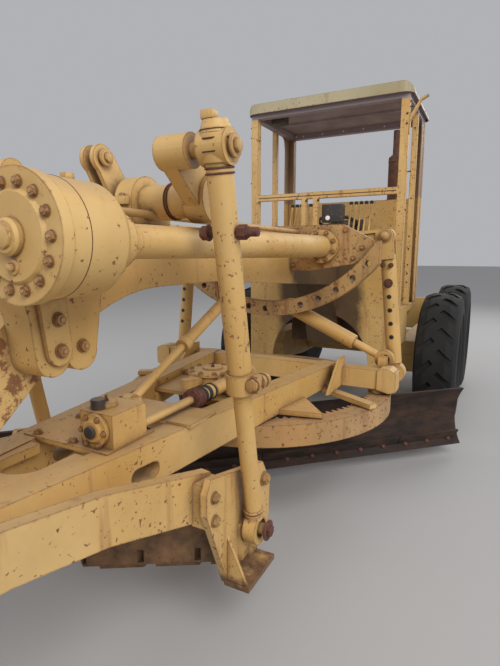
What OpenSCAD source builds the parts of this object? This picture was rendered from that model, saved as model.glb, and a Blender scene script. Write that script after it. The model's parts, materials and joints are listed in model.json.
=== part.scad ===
// Motor grader with an arched main frame, a V scarifier block, a drawbar with circle and
// blade, mechanical blade lift arms, an open canopy cab and four driven tandem wheels.
// +X points forward, +Y to the machine's left and +Z up. Lengths are millimetres.
// A station s is a distance behind the front axle, and fx(s) turns it into X.

/* [Wheels] */
// Outside diameter of every tyre
tyre_d = 1360; // [1300:10:1400]
// Width of every tyre
tyre_w = 390; // [370:5:400]
// Traction bars on each side of a tyre
lugs = 20; // [16:1:24]
// Diameter of the rim where the bead seats
rim_d = 640; // [600:10:680]
// Distance from the machine's middle to a front tyre's middle
front_track_half = 1010; // [1000:5:1040]
// Distance from the machine's middle to a rear tyre's middle
rear_track_half = 1070; // [1065:5:1100]

/* [Layout] */
// Front axle to the middle of the tandems
wheelbase = 6430; // [6400:10:6600]
// Distance between the two wheels of a tandem
tandem_span = 1560; // [1500:10:1600]
// Tandem middle to the rearmost plate
rear_reach = 1760; // [1700:10:1900]

/* [Main frame] */
// Width of the arched box beam
beam_w = 340; // [300:10:360]
// Height of the beam's underside over the circle
beam_low = 1610; // [1590:5:1630]
// Depth of the beam over the circle
beam_h = 270; // [240:5:280]
// Steepness of the gooseneck, in degrees
neck_tilt = 40; // [38:1:42]

/* [Circle and blade] */
// Outside diameter of the circle
circle_d = 1900; // [1860:10:1920]
// Height of the circle's upper face
circle_top = 820; // [812:2:824]
// Length of the blade
blade_l = 3660; // [3400:20:3680]
// Height of the blade along its chord
blade_h = 500; // [460:10:520]
// How far the blade stands across the machine at rest, in degrees
blade_angle = 44; // [40:1:45]

/* [Cab] */
// Width over the cab's posts
cab_w = 1520; // [1450:10:1560]
// Length of the cab over its posts
cab_l = 1020; // [1000:10:1050]
// Height of the cab's floor
floor_z = 1250; // [1230:5:1270]
// Height of the roof's highest face
roof_z = 3210; // [3150:10:3300]

/* [Hidden] */
$fn = 48;
gap = 8;          // running clearance between pieces that move
fit = 0.3;        // clearance between pieces that are seated on each other
tyre_r = tyre_d / 2;
axle_z = tyre_r;
x_axle = (tyre_r + wheelbase + rear_reach) / 2 - tyre_r;
function fx(s) = x_axle - s;
circle_s = wheelbase - 2930;                        // the circle's middle
cab_s = wheelbase - 1580;                           // front face of the cab's front posts

beam_half = beam_w / 2;
beam_top = beam_low + beam_h;
spindle_d = 110;
kingpin_d = 70;
kingpin_y = front_track_half - 210;
case_w = 200;                                       // tandem case, across
case_y = rear_track_half - tyre_w / 2 - 20 - case_w / 2;
rail_low = axle_z + 180;                            // rear frame rails
rail_top = rail_low + 250;
housing_s = 1240;                                   // front face of the lift gear housings
housing_l = 362;
housing_z = 1795;
tube_y = 420;                                       // lift arm's hub, from the middle
tube_z = 1810;
housing_y = tube_y;
collar_s = circle_s + 150;                          // front face of the lift saddle
saddle_t = 70;
lift_s = circle_s + 330;                                      // plane of the lift arms and links
arm_tip = [825, 1880];                              // y, z of a lift arm's pin
draw_tip = [925, 920];                              // y, z of a drawbar pin
draw_pivot = [480, 800];                            // s, z of the drawbar's front ball
scar_pivot = [650, 830];                            // s, z of the scarifier's hinge
scar_shaft = [2080, 1970];                          // s, z of the scarifier's lift shaft
scar_hub = [1870, 2110];                            // s, z of the crank's pin
scar_eye = [2160, 550];                             // s, z of the link's lower eye
scar_y = 640;                                       // the link, from the middle
shift_s = circle_s + 225;                                     // plane of the side-shift cylinder
arc_z = 2377;                                       // the holed arc's centre, and its mean radius
arc_r = 1020;
arc_pitch = 8;                                      // angle between its holes
shift_lug = [arc_r * sin(arc_pitch), arc_z - arc_r * cos(arc_pitch)];   // y, z of its lug, on a hole
shift_eye = [870, 1030];                            // y, z of its rod's eye
drive_y = 100;                                      // plane of the circle's telescoping drive shaft
drive_top = [2860, 1500];                           // s, z of its joint under the beam
drive_eye = [1985, 1100];                           // s, z of its joint on the drawbar
drive_pin_d = 30;
open_play = 17;                                     // radial play at an opened pivot
post = 70;                                          // cab post, square
sheet_t = 6;                                        // cab sheet
yellow = "#d9b25f";

// A solid bar between two points
module bar(a, b, d1, d2) {
    v = b - a;
    length = norm(v);
    translate(a)
        rotate([0, acos(v[2] / length), atan2(v[1], v[0])])
            cylinder(h = length, d1 = d1, d2 = d2);
}

// A square-cut beam between two points at one height z, w across and h tall
module level_beam(a, b, z, w, h) {
    v = b - a;
    translate([a[0], a[1], z])
        rotate([0, 0, atan2(v[1], v[0])])
            translate([0, -w / 2, -h / 2])
                cube([norm(v), w, h]);
}

// A side profile in (station, height), w wide about y
module side_profile(points, y, w) {
    translate([0, y + w / 2, 0])
        rotate([90, 0, 0])
            linear_extrude(w)
                polygon([for (p = points) [fx(p[0]), p[1]]]);
}

// A profile in the plane across the machine, (y, z), from station s rearwards by w
module cross_profile(points, s, w) {
    translate([fx(s + w), 0, 0])
        rotate([90, 0, 90])
            linear_extrude(w)
                polygon(points);
}

module along_x(s, y, z, d, length) {
    translate([fx(s + length), y, z]) rotate([0, 90, 0]) cylinder(h = length, d = d);
}

module along_y(s, y, z, d, length) {
    translate([fx(s), y, z]) rotate([-90, 0, 0]) cylinder(h = length, d = d);
}

module box(s, y, z, length, w, h) {
    translate([fx(s + length), y - w / 2, z]) cube([length, w, h]);
}

// A turned piece with its axis along the machine: profile in (radius, distance rearwards)
module turned_x(s, y, z, profile) {
    translate([fx(s), y, z]) rotate([0, -90, 0]) rotate_extrude() polygon(profile);
}

// A profile in (distance rearwards, height), w thick, that leaves [s, y] at an angle outwards
module splayed_profile(s, y, angle, points, w) {
    translate([fx(s), y, 0]) rotate([0, 0, y > 0 ? -angle : angle])
        translate([0, w / 2, 0]) rotate([90, 0, 0]) linear_extrude(w)
            polygon([for (p = points) [-p[0], p[1]]]);
}

// Wheels
lug_gap = 52;                        // width and depth of the grooves between the bars
lug_depth = 26;
lug_slant = 42;
module tyre(s, y) {
    r = tyre_r;
    h = tyre_w / 2;
    bead = rim_d / 2;
    color("#26262a")
    translate([fx(s), y, axle_z]) rotate([90, 0, 0])
        difference() {
            rotate_extrude($fn = 72)
                polygon([[bead, -h * 0.62], [bead + 40, -h * 0.80], [r - 190, -h], [r - 90, -h * 0.97],
                         [r - 30, -h * 0.86], [r, -h * 0.5], [r, h * 0.5], [r - 30, h * 0.86],
                         [r - 90, h * 0.97], [r - 190, h], [bead + 40, h * 0.80], [bead, h * 0.62]]);
            // slanted grooves that leave the traction bars, staggered from side to side
            for (side = [-1, 1], k = [0:lugs - 1])
                rotate([0, 0, (k + (side > 0 ? 0 : 0.5)) * 360 / lugs])
                    translate([r + 20 - lug_depth, 0, side * (h * 0.5 + 22)])
                        rotate([side * lug_slant, 0, 0]) cube([40, lug_gap, h * 1.35], center = true);
        }
}

// The rim: barrel, dish and a blind hub that runs on a spindle; side is +1 on the left
hub_in = 90;
module rim(s, y, side) {
    h = tyre_w / 2;
    b = rim_d / 2 - fit;
    bore = spindle_d / 2 + fit;
    color(yellow)
    translate([fx(s), y, axle_z]) rotate([side > 0 ? -90 : 90, 0, 0])
        rotate_extrude($fn = 72)
            polygon([[bore, -hub_in], [110, -hub_in], [110, 20], [b - 60, 50], [b - 26, 20],
                     [b - 24, -h * 0.62], [b, -h * 0.62], [b, h * 0.62], [b - 24, h * 0.62],
                     [b - 26, 60], [b - 60, 85], [150, 55], [100, 70], [100, 130], [0, 130],
                     [0, 110], [bore, 110]]);
}

module front_wheel_tyre(side) tyre(0, side * front_track_half);
module front_wheel_rim(side) rim(0, side * front_track_half, side);
function tandem_s(k) = wheelbase + (k - 0.5) * tandem_span;
module rear_wheel_tyre(side, k) tyre(tandem_s(k), side * rear_track_half);
module rear_wheel_rim(side, k) rim(tandem_s(k), side * rear_track_half, side);

// The arched main frame
neck_s = 1320;                       // a station on the gooseneck
neck_low = 1210;                     // height of its underside there
neck_h = 290;                        // its depth, measured upright
arch_r = 900;                        // radius of the arch's inside corner
arch_s = neck_s + (beam_low - neck_low) / tan(neck_tilt) + arch_r * tan(neck_tilt / 2);
foot_low = 980;                      // underside of the front foot
foot_top = foot_low + neck_h;
foot_s = neck_s - (neck_low - foot_low) / tan(neck_tilt);
neck_top_s = neck_s + (beam_top - neck_low - neck_h) / tan(neck_tilt);
nose_s = -330;
nose_z = foot_low + neck_h / 2;
nose_hole_y = 225;                   // push block's bolts, from the middle
nose_hole_z = 110;                   // and above and below the plate's middle
nose_hole_d = 27;
tail_s = cab_s + 210;
tail_low = 1480;                     // underside just ahead of the cab
pivot_d = 100;                       // axle's oscillation pin
pivot_z = axle_z + 30;

function arch_points() = [for (k = [0:6]) let (a = neck_tilt * k / 6)
    [arch_s - arch_r * sin(neck_tilt - a), beam_low - arch_r * (1 - cos(neck_tilt - a))]];

module main_frame() {
    color(yellow) {
        side_profile(concat(
            [[nose_s, foot_low], [foot_s, foot_low]],
            arch_points(),
            [[2600, beam_low], [cab_s - 220, tail_low], [cab_s + 20, 1150], [tail_s - 80, rail_low],
             [tail_s, rail_low], [tail_s, 1500], [cab_s - 60, beam_top - 40],
             [cab_s - 600, beam_top], [neck_top_s, beam_top],
             [neck_s - (neck_low + neck_h - foot_top) / tan(neck_tilt), foot_top], [nose_s, foot_top]]),
            0, beam_w);
        // nose plate with bolt holes for a push block
        difference() {
            box(nose_s - 50, 0, foot_low - 40, 55, 540, foot_top - foot_low + 80);
            for (y = [-1, 1], z = [-1, 1])
                along_x(nose_s - 60, y * nose_hole_y, nose_z + z * nose_hole_z, nose_hole_d, 80);
        }
        // fork that holds the axle's oscillation pin
        for (s = [-180, 110]) box(s, 0, pivot_z - 100, 70, 240, foot_low - pivot_z + 101);
        along_x(-200, 0, pivot_z, pivot_d, 400);
        // socket of the drawbar's ball, on a block behind the fork
        difference() {
            union() {
                box(180, 0, draw_pivot[1] - 95, 190, 190, foot_low - draw_pivot[1] + 96);
                along_x(360, 0, draw_pivot[1], 190, draw_pivot[0] - 360 + 20);
            }
            translate([fx(draw_pivot[0]), 0, draw_pivot[1]]) sphere(d = ball_d + 2 * fit);
        }
        // cheeks and pin under the beam for the circle's drive shaft
        for (y = [-46, 46])
            side_profile([[drive_top[0] - 60, beam_low + 10], [drive_top[0] - 34, drive_top[1] - 30],
                          [drive_top[0] + 34, drive_top[1] - 30], [drive_top[0] + 60, beam_low + 10]],
                         drive_y + y, 16);
        along_y(drive_top[0], drive_y - 50, drive_top[1], drive_pin_d, 100);
        // cheeks and pins of the scarifier's hinge
        for (side = [-1, 1]) {
            box(scar_pivot[0] - 60, side * 145, scar_pivot[1] - 60, 120, 40, foot_low - scar_pivot[1] + 61);
            along_y(scar_pivot[0], side > 0 ? 164 : -240, scar_pivot[1], scar_pin_d, 76);
        }
    }
}

hitch_z = 760;
hitch_pin_d = 61;
plate_in = 190;                      // rear plate ahead of the hitch's end
tail_end = wheelbase + rear_reach - plate_in;
module rear_frame() {
    length = tail_end - 60 - tail_s;
    color(yellow)
    difference() {
        box(tail_s, 0, rail_low, length, 760, rail_top - rail_low);
        box(tail_s + 700, 0, rail_low - 10, length - 1180, 560, rail_top - rail_low + 20);
    }
}

// rear plate and tow hitch
module rear_plate() {
    s1 = tail_end;
    hitch_s = s1 + plate_in - 80;
    color(yellow) {
        box(s1 - 60, 0, 640, 60, 1300, rail_top - 640);
        difference() {
            for (z = [hitch_z - 70, hitch_z + 40]) {
                box(s1 - 5, 0, z, hitch_s - s1 + 5, 160, 30);
                translate([fx(hitch_s), 0, z]) cylinder(h = 30, d = 160);
            }
            translate([fx(hitch_s), 0, hitch_z - 100]) cylinder(h = 200, d = hitch_pin_d);
        }
        // gussets under the hitch
        for (side = [-1, 1])
            side_profile([[s1 - 5, hitch_z - 100], [s1 - 5, hitch_z - 65], [hitch_s - 60, hitch_z - 65]],
                         side * 60, 16);
    }
}

arc_w = 108;
module lift_saddle() {
    color(yellow) {
        difference() {
            cross_profile([[-780, 1770], [-770, 1850], [-560, 1960], [560, 1960], [770, 1850], [780, 1770],
                           [640, 1690], [330, 1640], [-330, 1640], [-640, 1690]],
                          collar_s, saddle_t);
            box(collar_s - 10, 0, beam_low - 60, saddle_t + 20, beam_w, beam_h + 60);
            for (side = [-1, 1]) along_x(collar_s - 10, side * tube_y, tube_z, 160 + 2 * fit, saddle_t + 20);
        }
        // arc of the centre shift, hung from the saddle's ears
        difference() {
            translate([fx(collar_s + 10), 0, arc_z]) rotate([90, 0, 90]) linear_extrude(70)
                intersection() {
                    difference() {
                        circle(r = arc_r + arc_w / 2, $fn = 96);
                        circle(r = arc_r - arc_w / 2, $fn = 96);
                    }
                    translate([-830, -arc_r - arc_w]) square([1660, arc_r + arc_w - arc_z + 1845]);
                }
            for (a = [-6 * arc_pitch:arc_pitch:6 * arc_pitch])
                along_x(collar_s - 70, arc_r * sin(a), arc_z - arc_r * cos(a), 42, 90);
        }
        // lug and pin of the side-shift cylinder
        along_x(collar_s - 20, shift_lug[0], shift_lug[1], 120, 36);
        along_x(collar_s - 20, shift_lug[0], shift_lug[1], 60, shift_s + 50 - collar_s + 20);
    }
}

module lift_housings() {
    color(yellow)
    for (side = [-1, 1]) {
        // turned housing: centre boss, cover, cover flange, drum, shoulder and neck
        turned_x(housing_s, side * housing_y, housing_z,
                 [[0, -30], [40, -30], [48, -22], [48, -8], [112, -8], [122, 0], [175, 0], [175, 36],
                  [166, 40], [166, 235], [150, 262], [112, 300], [96, 310], [92, 322], [92, housing_l],
                  [0, housing_l]]);
        // bracket with round-ended feet, bolted to the frame's side
        w = housing_y - beam_half - 130;
        side_profile([[housing_s + 60, housing_z], [housing_s + 100, 1640], [housing_s + 122, 1560],
                      [housing_s + 135, 1432], [housing_s + 381, 1432], [housing_s + 400, 1540],
                      [housing_s + 423, 1653], [housing_s + 330, 1690], [housing_s + 262, housing_z]],
                     side * (beam_half + w / 2), w);
        for (s = [200, 316])
            along_y(housing_s + s, side > 0 ? beam_half : -beam_half - w, 1432, 130, w);
        // round-ended strap on the bracket's outer face
        side_profile([[housing_s + 130, 1730], [housing_s + 166, 1450], [housing_s + 260, 1450],
                      [housing_s + 236, 1730]], side * (beam_half + w + 8), 20);
        along_y(housing_s + 213, side > 0 ? beam_half + w - 2 : -beam_half - w - 18, 1450, 94, 20);
    }
}

module torque_tubes() {
    neck = housing_s + housing_l + fit;
    color(yellow)
    for (side = [-1, 1]) {
        along_x(neck, side * housing_y, housing_z, 160, 22);
        bar([fx(neck + 12), side * housing_y, housing_z], [fx(collar_s - 20), side * tube_y, tube_z],
            116, 150);
        along_x(collar_s - 45, side * tube_y, tube_z, 230, 45);
        along_x(collar_s - 10, side * tube_y, tube_z, 160, saddle_t + 10);
        along_x(collar_s, side * tube_y, tube_z, 100, lift_s + 60 - collar_s);
    }
}

// Front axle and steering
module front_axle() {
    axle_end = kingpin_y - 60;
    color(yellow) {
        difference() {
            union() {
                cross_profile([[-axle_end, axle_z - 75], [-330, axle_z - 100], [330, axle_z - 100],
                               [axle_end, axle_z - 75], [axle_end, axle_z + 65], [330, axle_z + 90],
                               [-330, axle_z + 90], [-axle_end, axle_z + 65]], -70, 140);
                for (side = [-1, 1])
                    translate([fx(0), side * kingpin_y, axle_z - 80]) cylinder(h = 160, d = 150);
                along_x(-100, 0, pivot_z, pivot_d + 90, 200);
            }
            for (side = [-1, 1])
                translate([fx(0), side * kingpin_y, axle_z - 100])
                    cylinder(h = 200, d = kingpin_d + 2 * fit);
            along_x(-110, 0, pivot_z, pivot_d + 2 * fit, 220);
        }
    }
}

tie_s = 250;
tie_off = 30;                        // steering arm's eye, inwards of the kingpin
tie_pin_d = 40;
module knuckle(side) {
    play = side > 0 ? fit : open_play;
    color(yellow)
    difference() {
        translate([fx(0), side * kingpin_y, axle_z]) {
            translate([0, 0, -130]) cylinder(h = 260, d = kingpin_d);
            for (k = [0, 1]) mirror([0, 0, k]) {
                translate([0, 0, 88]) cylinder(h = 42, d = 150);
                translate([-60, side > 0 ? 0 : -100, 88]) cube([120, 100, 42]);
            }
            // plate behind the boss, spindle flange and spindle
            translate([-75, side > 0 ? 83 : -113, -130]) cube([150, 30, 260]);
            rotate([side > 0 ? -90 : 90, 0, 0]) translate([0, 0, 84]) {
                cylinder(h = 30, d = 170);
                cylinder(h = 210 + 100 - 84, d = spindle_d);
            }
            // steering arm, rearwards
            translate([-tie_s, -side * tie_off - 30, -130]) cube([tie_s, 60, 42]);
            translate([-tie_s, -side * tie_off, -130]) cylinder(h = 42, d = 110);
        }
        translate([fx(tie_s), side * (kingpin_y - tie_off), axle_z - 140])
            cylinder(h = 60, d = tie_pin_d + 2 * play);
    }
}

module tie_rod() {
    y = kingpin_y - tie_off;
    color(yellow) {
        along_y(tie_s, -y, axle_z - 170, 50, 2 * y);
        for (side = [-1, 1]) translate([fx(tie_s), side * y, axle_z - 200]) {
            cylinder(h = 70 - fit, d = 70);
            cylinder(h = 110, d = tie_pin_d);
        }
    }
}

// Rear running gear
module tandem_cases() {
    sa = tandem_s(0);
    sb = tandem_s(1);
    color(yellow)
    for (side = [-1, 1]) {
        side_profile([[sa - 150, axle_z - 150], [sa - 190, axle_z + 40], [sa - 80, axle_z + 165],
                      [wheelbase - 220, axle_z + 175], [wheelbase + 220, axle_z + 175],
                      [sb + 80, axle_z + 165], [sb + 190, axle_z + 40], [sb + 150, axle_z - 150],
                      [wheelbase + 300, axle_z - 200], [wheelbase - 300, axle_z - 200]],
                     side * case_y, case_w);
        for (s = [sa, sb]) {
            face = case_y + case_w / 2;
            mid = rear_track_half;
            along_y(s, side > 0 ? face - 1 : -face - 40, axle_z, 230, 41);
            along_y(s, side > 0 ? face - 1 : -mid - 100, axle_z, spindle_d, mid + 100 - face + 1);
        }
    }
}

module rear_axle() {
    inner = case_y - case_w / 2;
    color(yellow) {
        along_y(wheelbase, -inner, axle_z, 340, 2 * inner);
        box(wheelbase - 260, 0, axle_z, 520, 700, rail_low - axle_z);
    }
}

// Drawbar, circle and blade
ball_d = 130;
leg_top = circle_top + 170;
leg_low = [790, 850];                // underside of a leg at its front and its rear end
leg_w = 120;
leg_s = 1180;                        // front end of the legs
leg_y = 150;                         // a leg's middle there, from the machine's middle
cross_s = circle_s + 160;            // rear face of the cross beam
circle_teeth = 108;
pinion_teeth = 20;
teeth_module = circle_d / 127;
pinion_s = circle_s - (circle_teeth - pinion_teeth) * teeth_module / 2;
pinion_shaft_d = 70;
case_base = circle_top + 125;        // the plate that the worm gear case stands on
boss_d = 150;
cross_z = [855, 985];
leg_splay = atan((500 - leg_y) / (cross_s - leg_s));
draw_pin_d = 50;
shift_pin_d = 44;
module drawbar() {
    length = (cross_s - leg_s) / cos(leg_splay);
    z = (leg_top + leg_low[1]) / 2;
    color(yellow) {
        // front ball and tongue
        translate([fx(draw_pivot[0]), 0, draw_pivot[1]]) sphere(d = ball_d);
        side_profile([[draw_pivot[0] + 40, draw_pivot[1] - 42], [leg_s + 60, leg_low[0] + 10],
                      [leg_s + 60, leg_top - 10], [leg_s - 60, leg_top - 52], [leg_s - 160, leg_top - 78],
                      [draw_pivot[0] + 40, draw_pivot[1] + 42]],
                     0, 116);
        for (side = [-1, 1]) {
            // leg, deeper in front, with a lightening hole
            difference() {
                splayed_profile(leg_s, side * leg_y, leg_splay,
                                [[0, leg_low[0]], [length, leg_low[1]], [length, leg_top], [0, leg_top]],
                                leg_w);
                splayed_profile(leg_s, side * leg_y, leg_splay,
                                [[630, 835], [710, 835], [710, 905], [630, 905]], leg_w + 40);
                for (d = [630, 710])
                    translate([fx(leg_s), side * leg_y, 0]) rotate([0, 0, -side * leg_splay])
                        translate([-d, 0, 870]) rotate([90, 0, 0])
                            cylinder(h = leg_w + 40, d = 70, center = true);
            }
            along_x(cross_s, side * draw_tip[0], draw_tip[1], draw_pin_d, lift_s + 60 - cross_s);
            // gusset between leg and cross beam
            side_profile([[cross_s - 420, leg_low[1] + 8], [cross_s - 60, leg_low[1] + 8],
                          [cross_s - 60, leg_top + 60], [cross_s - 180, leg_top + 60]], side * 610, 20);
            // end cap of the cross beam, with a deeper cheek
            cross_profile([[side * 940, 835], [side * 985, 850], [side * 985, 975], [side * 940, 1002],
                           [side * 880, 1002], [side * 860, 980], [side * 860, 855]], cross_s - 130, 136);
        }
        box(cross_s - 120, 0, cross_z[0], 120, 2 * draw_tip[0] + 110, cross_z[1] - cross_z[0]);
        // front plate between the legs, notched at its rear
        difference() {
            translate([0, 0, leg_top - 45]) linear_extrude(40)
                polygon([for (p = [[leg_s - 60, -90], [leg_s + 20, -leg_y - 40], [leg_s + 480, -leg_y - 90],
                                   [leg_s + 480, leg_y + 90], [leg_s + 20, leg_y + 40], [leg_s - 60, 90]])
                         [fx(p[0]), p[1]]]);
            translate([fx(leg_s + 340), 0, leg_top - 60]) cylinder(h = 80, d = 200);
            box(leg_s + 340, 0, leg_top - 60, 200, 200, 80);
        }
        // step on the left leg, and the plates that carry the drive's boxes
        box(leg_s + 900, 130, leg_top - 5, 220, 450, 17);
        box(leg_s + 510, 0, leg_top - 14, 280, 480, 20);
        difference() {
            box(pinion_s - 200, 0, case_base - 20, 400, 700, 20);
            translate([fx(pinion_s), 0, case_base - 40]) cylinder(h = 60, d = boss_d + 2 * fit);
        }
        // shoes that reach out over the circle
        for (side = [-1, 1]) {
            translate([0, 0, circle_top + 6]) linear_extrude(30)
                polygon([for (p = [[circle_s - 660, 370], [circle_s - 280, 440], [circle_s - 600, 700]])
                         [fx(p[0]), side * p[1]]]);
            translate([0, 0, circle_top + 6]) linear_extrude(30)
                polygon([for (p = [[circle_s - 50, 450], [circle_s + 10, 470], [circle_s - 260, 930],
                                   [circle_s - 320, 900]]) [fx(p[0]), side * p[1]]]);
        }
        // pads that ride on the circle
        for (side = [-1, 1]) {
            translate([fx(circle_s) + 830, side * 325, circle_top + fit])
                cylinder(h = z - circle_top - fit, d = 90);
            translate([fx(cross_s - 65), side * 860, circle_top + fit])
                cylinder(h = z - circle_top - fit, d = 90);
        }
        // post and pin of the side-shift rod
        box(cross_s - 25, shift_eye[0], z, 50, 60, shift_eye[1] - z + 30);
        along_x(cross_s, shift_eye[0], shift_eye[1], shift_pin_d, shift_s + 40 - cross_s);
    }
}

// Drive of the circle: worm gear case, bevel box, the shaft between them and a telescoping shaft
worm_y = 200;
worm_z = leg_top + 40;
bevel_s = leg_s + 550;               // front face of the bevel box
bevel_y = 150;
module circle_gearcase() {
    bevel_l = 200;
    color(yellow) {
        // wheel housing with its lid, its ear and the boss that the pinion's shaft runs in
        difference() {
            translate([fx(pinion_s), 0, 0]) rotate_extrude()
                polygon([[0, circle_top + 22], [boss_d / 2, circle_top + 22], [boss_d / 2, case_base],
                         [176, case_base], [176, case_base + 18], [140, case_base + 22],
                         [140, case_base + 84], [151, case_base + 88], [151, case_base + 102],
                         [118, case_base + 107], [62, case_base + 111], [62, case_base + 122],
                         [0, case_base + 122]]);
            translate([fx(pinion_s), 0, circle_top]) cylinder(h = 130, d = pinion_shaft_d + 2 * fit);
        }
        box(pinion_s - 240, -20, case_base + 50, 130, 70, 40);
        translate([fx(pinion_s - 240), -20, case_base + 44]) cylinder(h = 52, d = 76);
        // worm housing beside it
        box(pinion_s - 70, 145, case_base + 30, 140, 70, 80);
        turned_x(pinion_s - 200, worm_y, worm_z,
                 [[0, 0], [42, 0], [42, 28], [66, 32], [66, 60], [56, 66], [56, 250], [66, 256], [66, 276],
                  [30, 286], [0, 286]]);
        // shaft from the bevel box, with its guard, rubber boot and coupling
        turned_x(bevel_s + bevel_l - 2, worm_y, worm_z,
                 [[0, 0], [22, 0], [22, 382], [50, 388], [50, 450], [30, 458], [41, 480], [33, 502],
                  [43, 524], [35, 546], [44, 568], [30, 590], [38, 596], [38, 720], [0, 720]]);
        // bevel box with its cover
        box(bevel_s, bevel_y, leg_top + 6, bevel_l, 170, 140);
        turned_x(bevel_s - 30, bevel_y, leg_top + 76,
                 [[0, 0], [40, 0], [52, 8], [68, 10], [68, 31], [0, 31]]);
        translate([fx(bevel_s + 90), bevel_y - 30, leg_top + 140]) cylinder(h = 26, d = 90);
        // yoke and pin of the telescoping shaft
        for (y = [-38, 38])
            side_profile([[bevel_s + bevel_l - 2, drive_eye[1] - 34],
                          [drive_eye[0] + 24, drive_eye[1] - 26], [drive_eye[0] + 24, drive_eye[1] + 26],
                          [bevel_s + bevel_l - 2, drive_eye[1] + 34]],
                         drive_y + y, 16);
        along_y(drive_eye[0], drive_y - 42, drive_eye[1], drive_pin_d, 84);
    }
}

drive_dir = [drive_eye[0] - drive_top[0], 0, drive_eye[1] - drive_top[1]];
drive_len = norm(drive_dir);
drive_rod_d = 40;
module drive_tube() {
    a = [fx(drive_top[0]), drive_y, drive_top[1]];
    u = [-drive_dir[0], 0, drive_dir[2]] / drive_len;
    color(yellow)
    difference() {
        union() {
            bar(a + u * 20, a + u * 500, 62, 62);
            bar(a + u * 470, a + u * 520, 76, 76);
            along_y(drive_top[0], drive_y - 30, drive_top[1], 74, 60);
        }
        along_y(drive_top[0], drive_y - 40, drive_top[1], drive_pin_d + 2 * fit, 80);
        bar(a + u * 140, a + u * 600, drive_rod_d + 2 * fit, drive_rod_d + 2 * fit);
    }
}

module drive_shaft() {
    a = [fx(drive_top[0]), drive_y, drive_top[1]];
    b = [fx(drive_eye[0]), drive_y, drive_eye[1]];
    u = (b - a) / drive_len;
    play = 8;
    color(yellow)
    difference() {
        union() {
            bar(a + u * 260, b - u * 26, drive_rod_d, drive_rod_d);
            along_y(drive_eye[0], drive_y - 24, drive_eye[1], drive_pin_d + 2 * play + 30, 48);
        }
        along_y(drive_eye[0], drive_y - 40, drive_eye[1], drive_pin_d + 2 * play, 80);
    }
}

// Teeth: [radius, half width] at the root and at the tip of a tooth
function gear_outline(teeth, root, tip, phase) =
    [for (k = [0:teeth - 1], p = [[root[0], -root[1]], [tip[0], -tip[1]], tip, root])
        let (a = (k + phase) * 360 / teeth) [p[0] * cos(a) - p[1] * sin(a), p[0] * sin(a) + p[1] * cos(a)]];
tooth_half = teeth_module * (PI / 4 - 0.12);         // half a tooth's width on the pitch circle
tooth_top = 0.8 * teeth_module;
tooth_bottom = 1.2 * teeth_module;
flank = tan(20);
tooth_tip_half = tooth_half - tooth_top * flank;
tooth_root_half = tooth_half + tooth_bottom * flank;

ring_h = 130;
module blade_circle() {
    r = circle_d / 2;
    pitch_r = circle_teeth * teeth_module / 2;
    color(yellow)
    translate([fx(circle_s), 0, 0]) {
        rotate_extrude($fn = 144)
            polygon([[r - 70, circle_top - 36], [r - 45, circle_top - 36], [r - 45, circle_top - ring_h],
                     [r, circle_top - ring_h], [r, circle_top], [r - 70, circle_top]]);
        // flange with the internal teeth
        translate([0, 0, circle_top - 40]) linear_extrude(36)
            difference() {
                circle(r = r - 60, $fn = 144);
                polygon(gear_outline(circle_teeth, [pitch_r + tooth_bottom, tooth_root_half],
                                     [pitch_r - tooth_top, tooth_tip_half], 0));
            }
    }
}

module circle_pinion() {
    pitch_r = pinion_teeth * teeth_module / 2;
    color(yellow)
    translate([fx(pinion_s), 0, 0]) {
        translate([0, 0, circle_top - 34]) linear_extrude(42)
            polygon(gear_outline(pinion_teeth, [pitch_r - tooth_bottom, tooth_root_half],
                                 [pitch_r + tooth_top, tooth_tip_half], 0.5));
        translate([0, 0, circle_top]) cylinder(h = 120, d = pinion_shaft_d);
    }
}

blade_back = 40;                     // middle of the moldboard behind the circle's middle
blade_t = 25;
blade_bow = 90;
blade_z = 120;                       // height of the cutting edge at rest
blade_shift = (blade_back + blade_t / 2 - blade_bow / 2) * tan(blade_angle);
module blade() {
    radius = (blade_h * blade_h / 4 + blade_bow * blade_bow) / (2 * blade_bow);
    half = asin(blade_h / 2 / radius);
    arm_y = 500;
    color(yellow)
    translate([fx(circle_s), 0, 0]) rotate([0, 0, blade_angle]) {
        // bowed moldboard, hollow side forward
        translate([-blade_back, -blade_l / 2 + blade_shift, blade_z + blade_h / 2])
            rotate([-90, 0, 0]) linear_extrude(blade_l)
                polygon(concat(
                    [for (k = [-8:8]) let (a = half * k / 8) [radius * (1 - cos(a)), -radius * sin(a)]],
                    [for (k = [8:-1:-8]) let (a = half * k / 8)
                        [radius * (1 - cos(a)) - blade_t / cos(a), -radius * sin(a)]]));
        // arms from the circle down to the moldboard
        for (side = [-1, 1])
            translate([0, side * arm_y + 25, 0]) rotate([90, 0, 0]) linear_extrude(50)
                polygon([[-725, circle_top - 40], [-620, circle_top - 40], [-500, 590],
                         [-blade_back - 22, 480], [-blade_back - 22, 200], [-180, 200], [-330, 400],
                         [-690, 580], [-725, 660]]);
        translate([-160, -arm_y, 330]) rotate([-90, 0, 0]) cylinder(h = 2 * arm_y, d = 90);
    }
}

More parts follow.
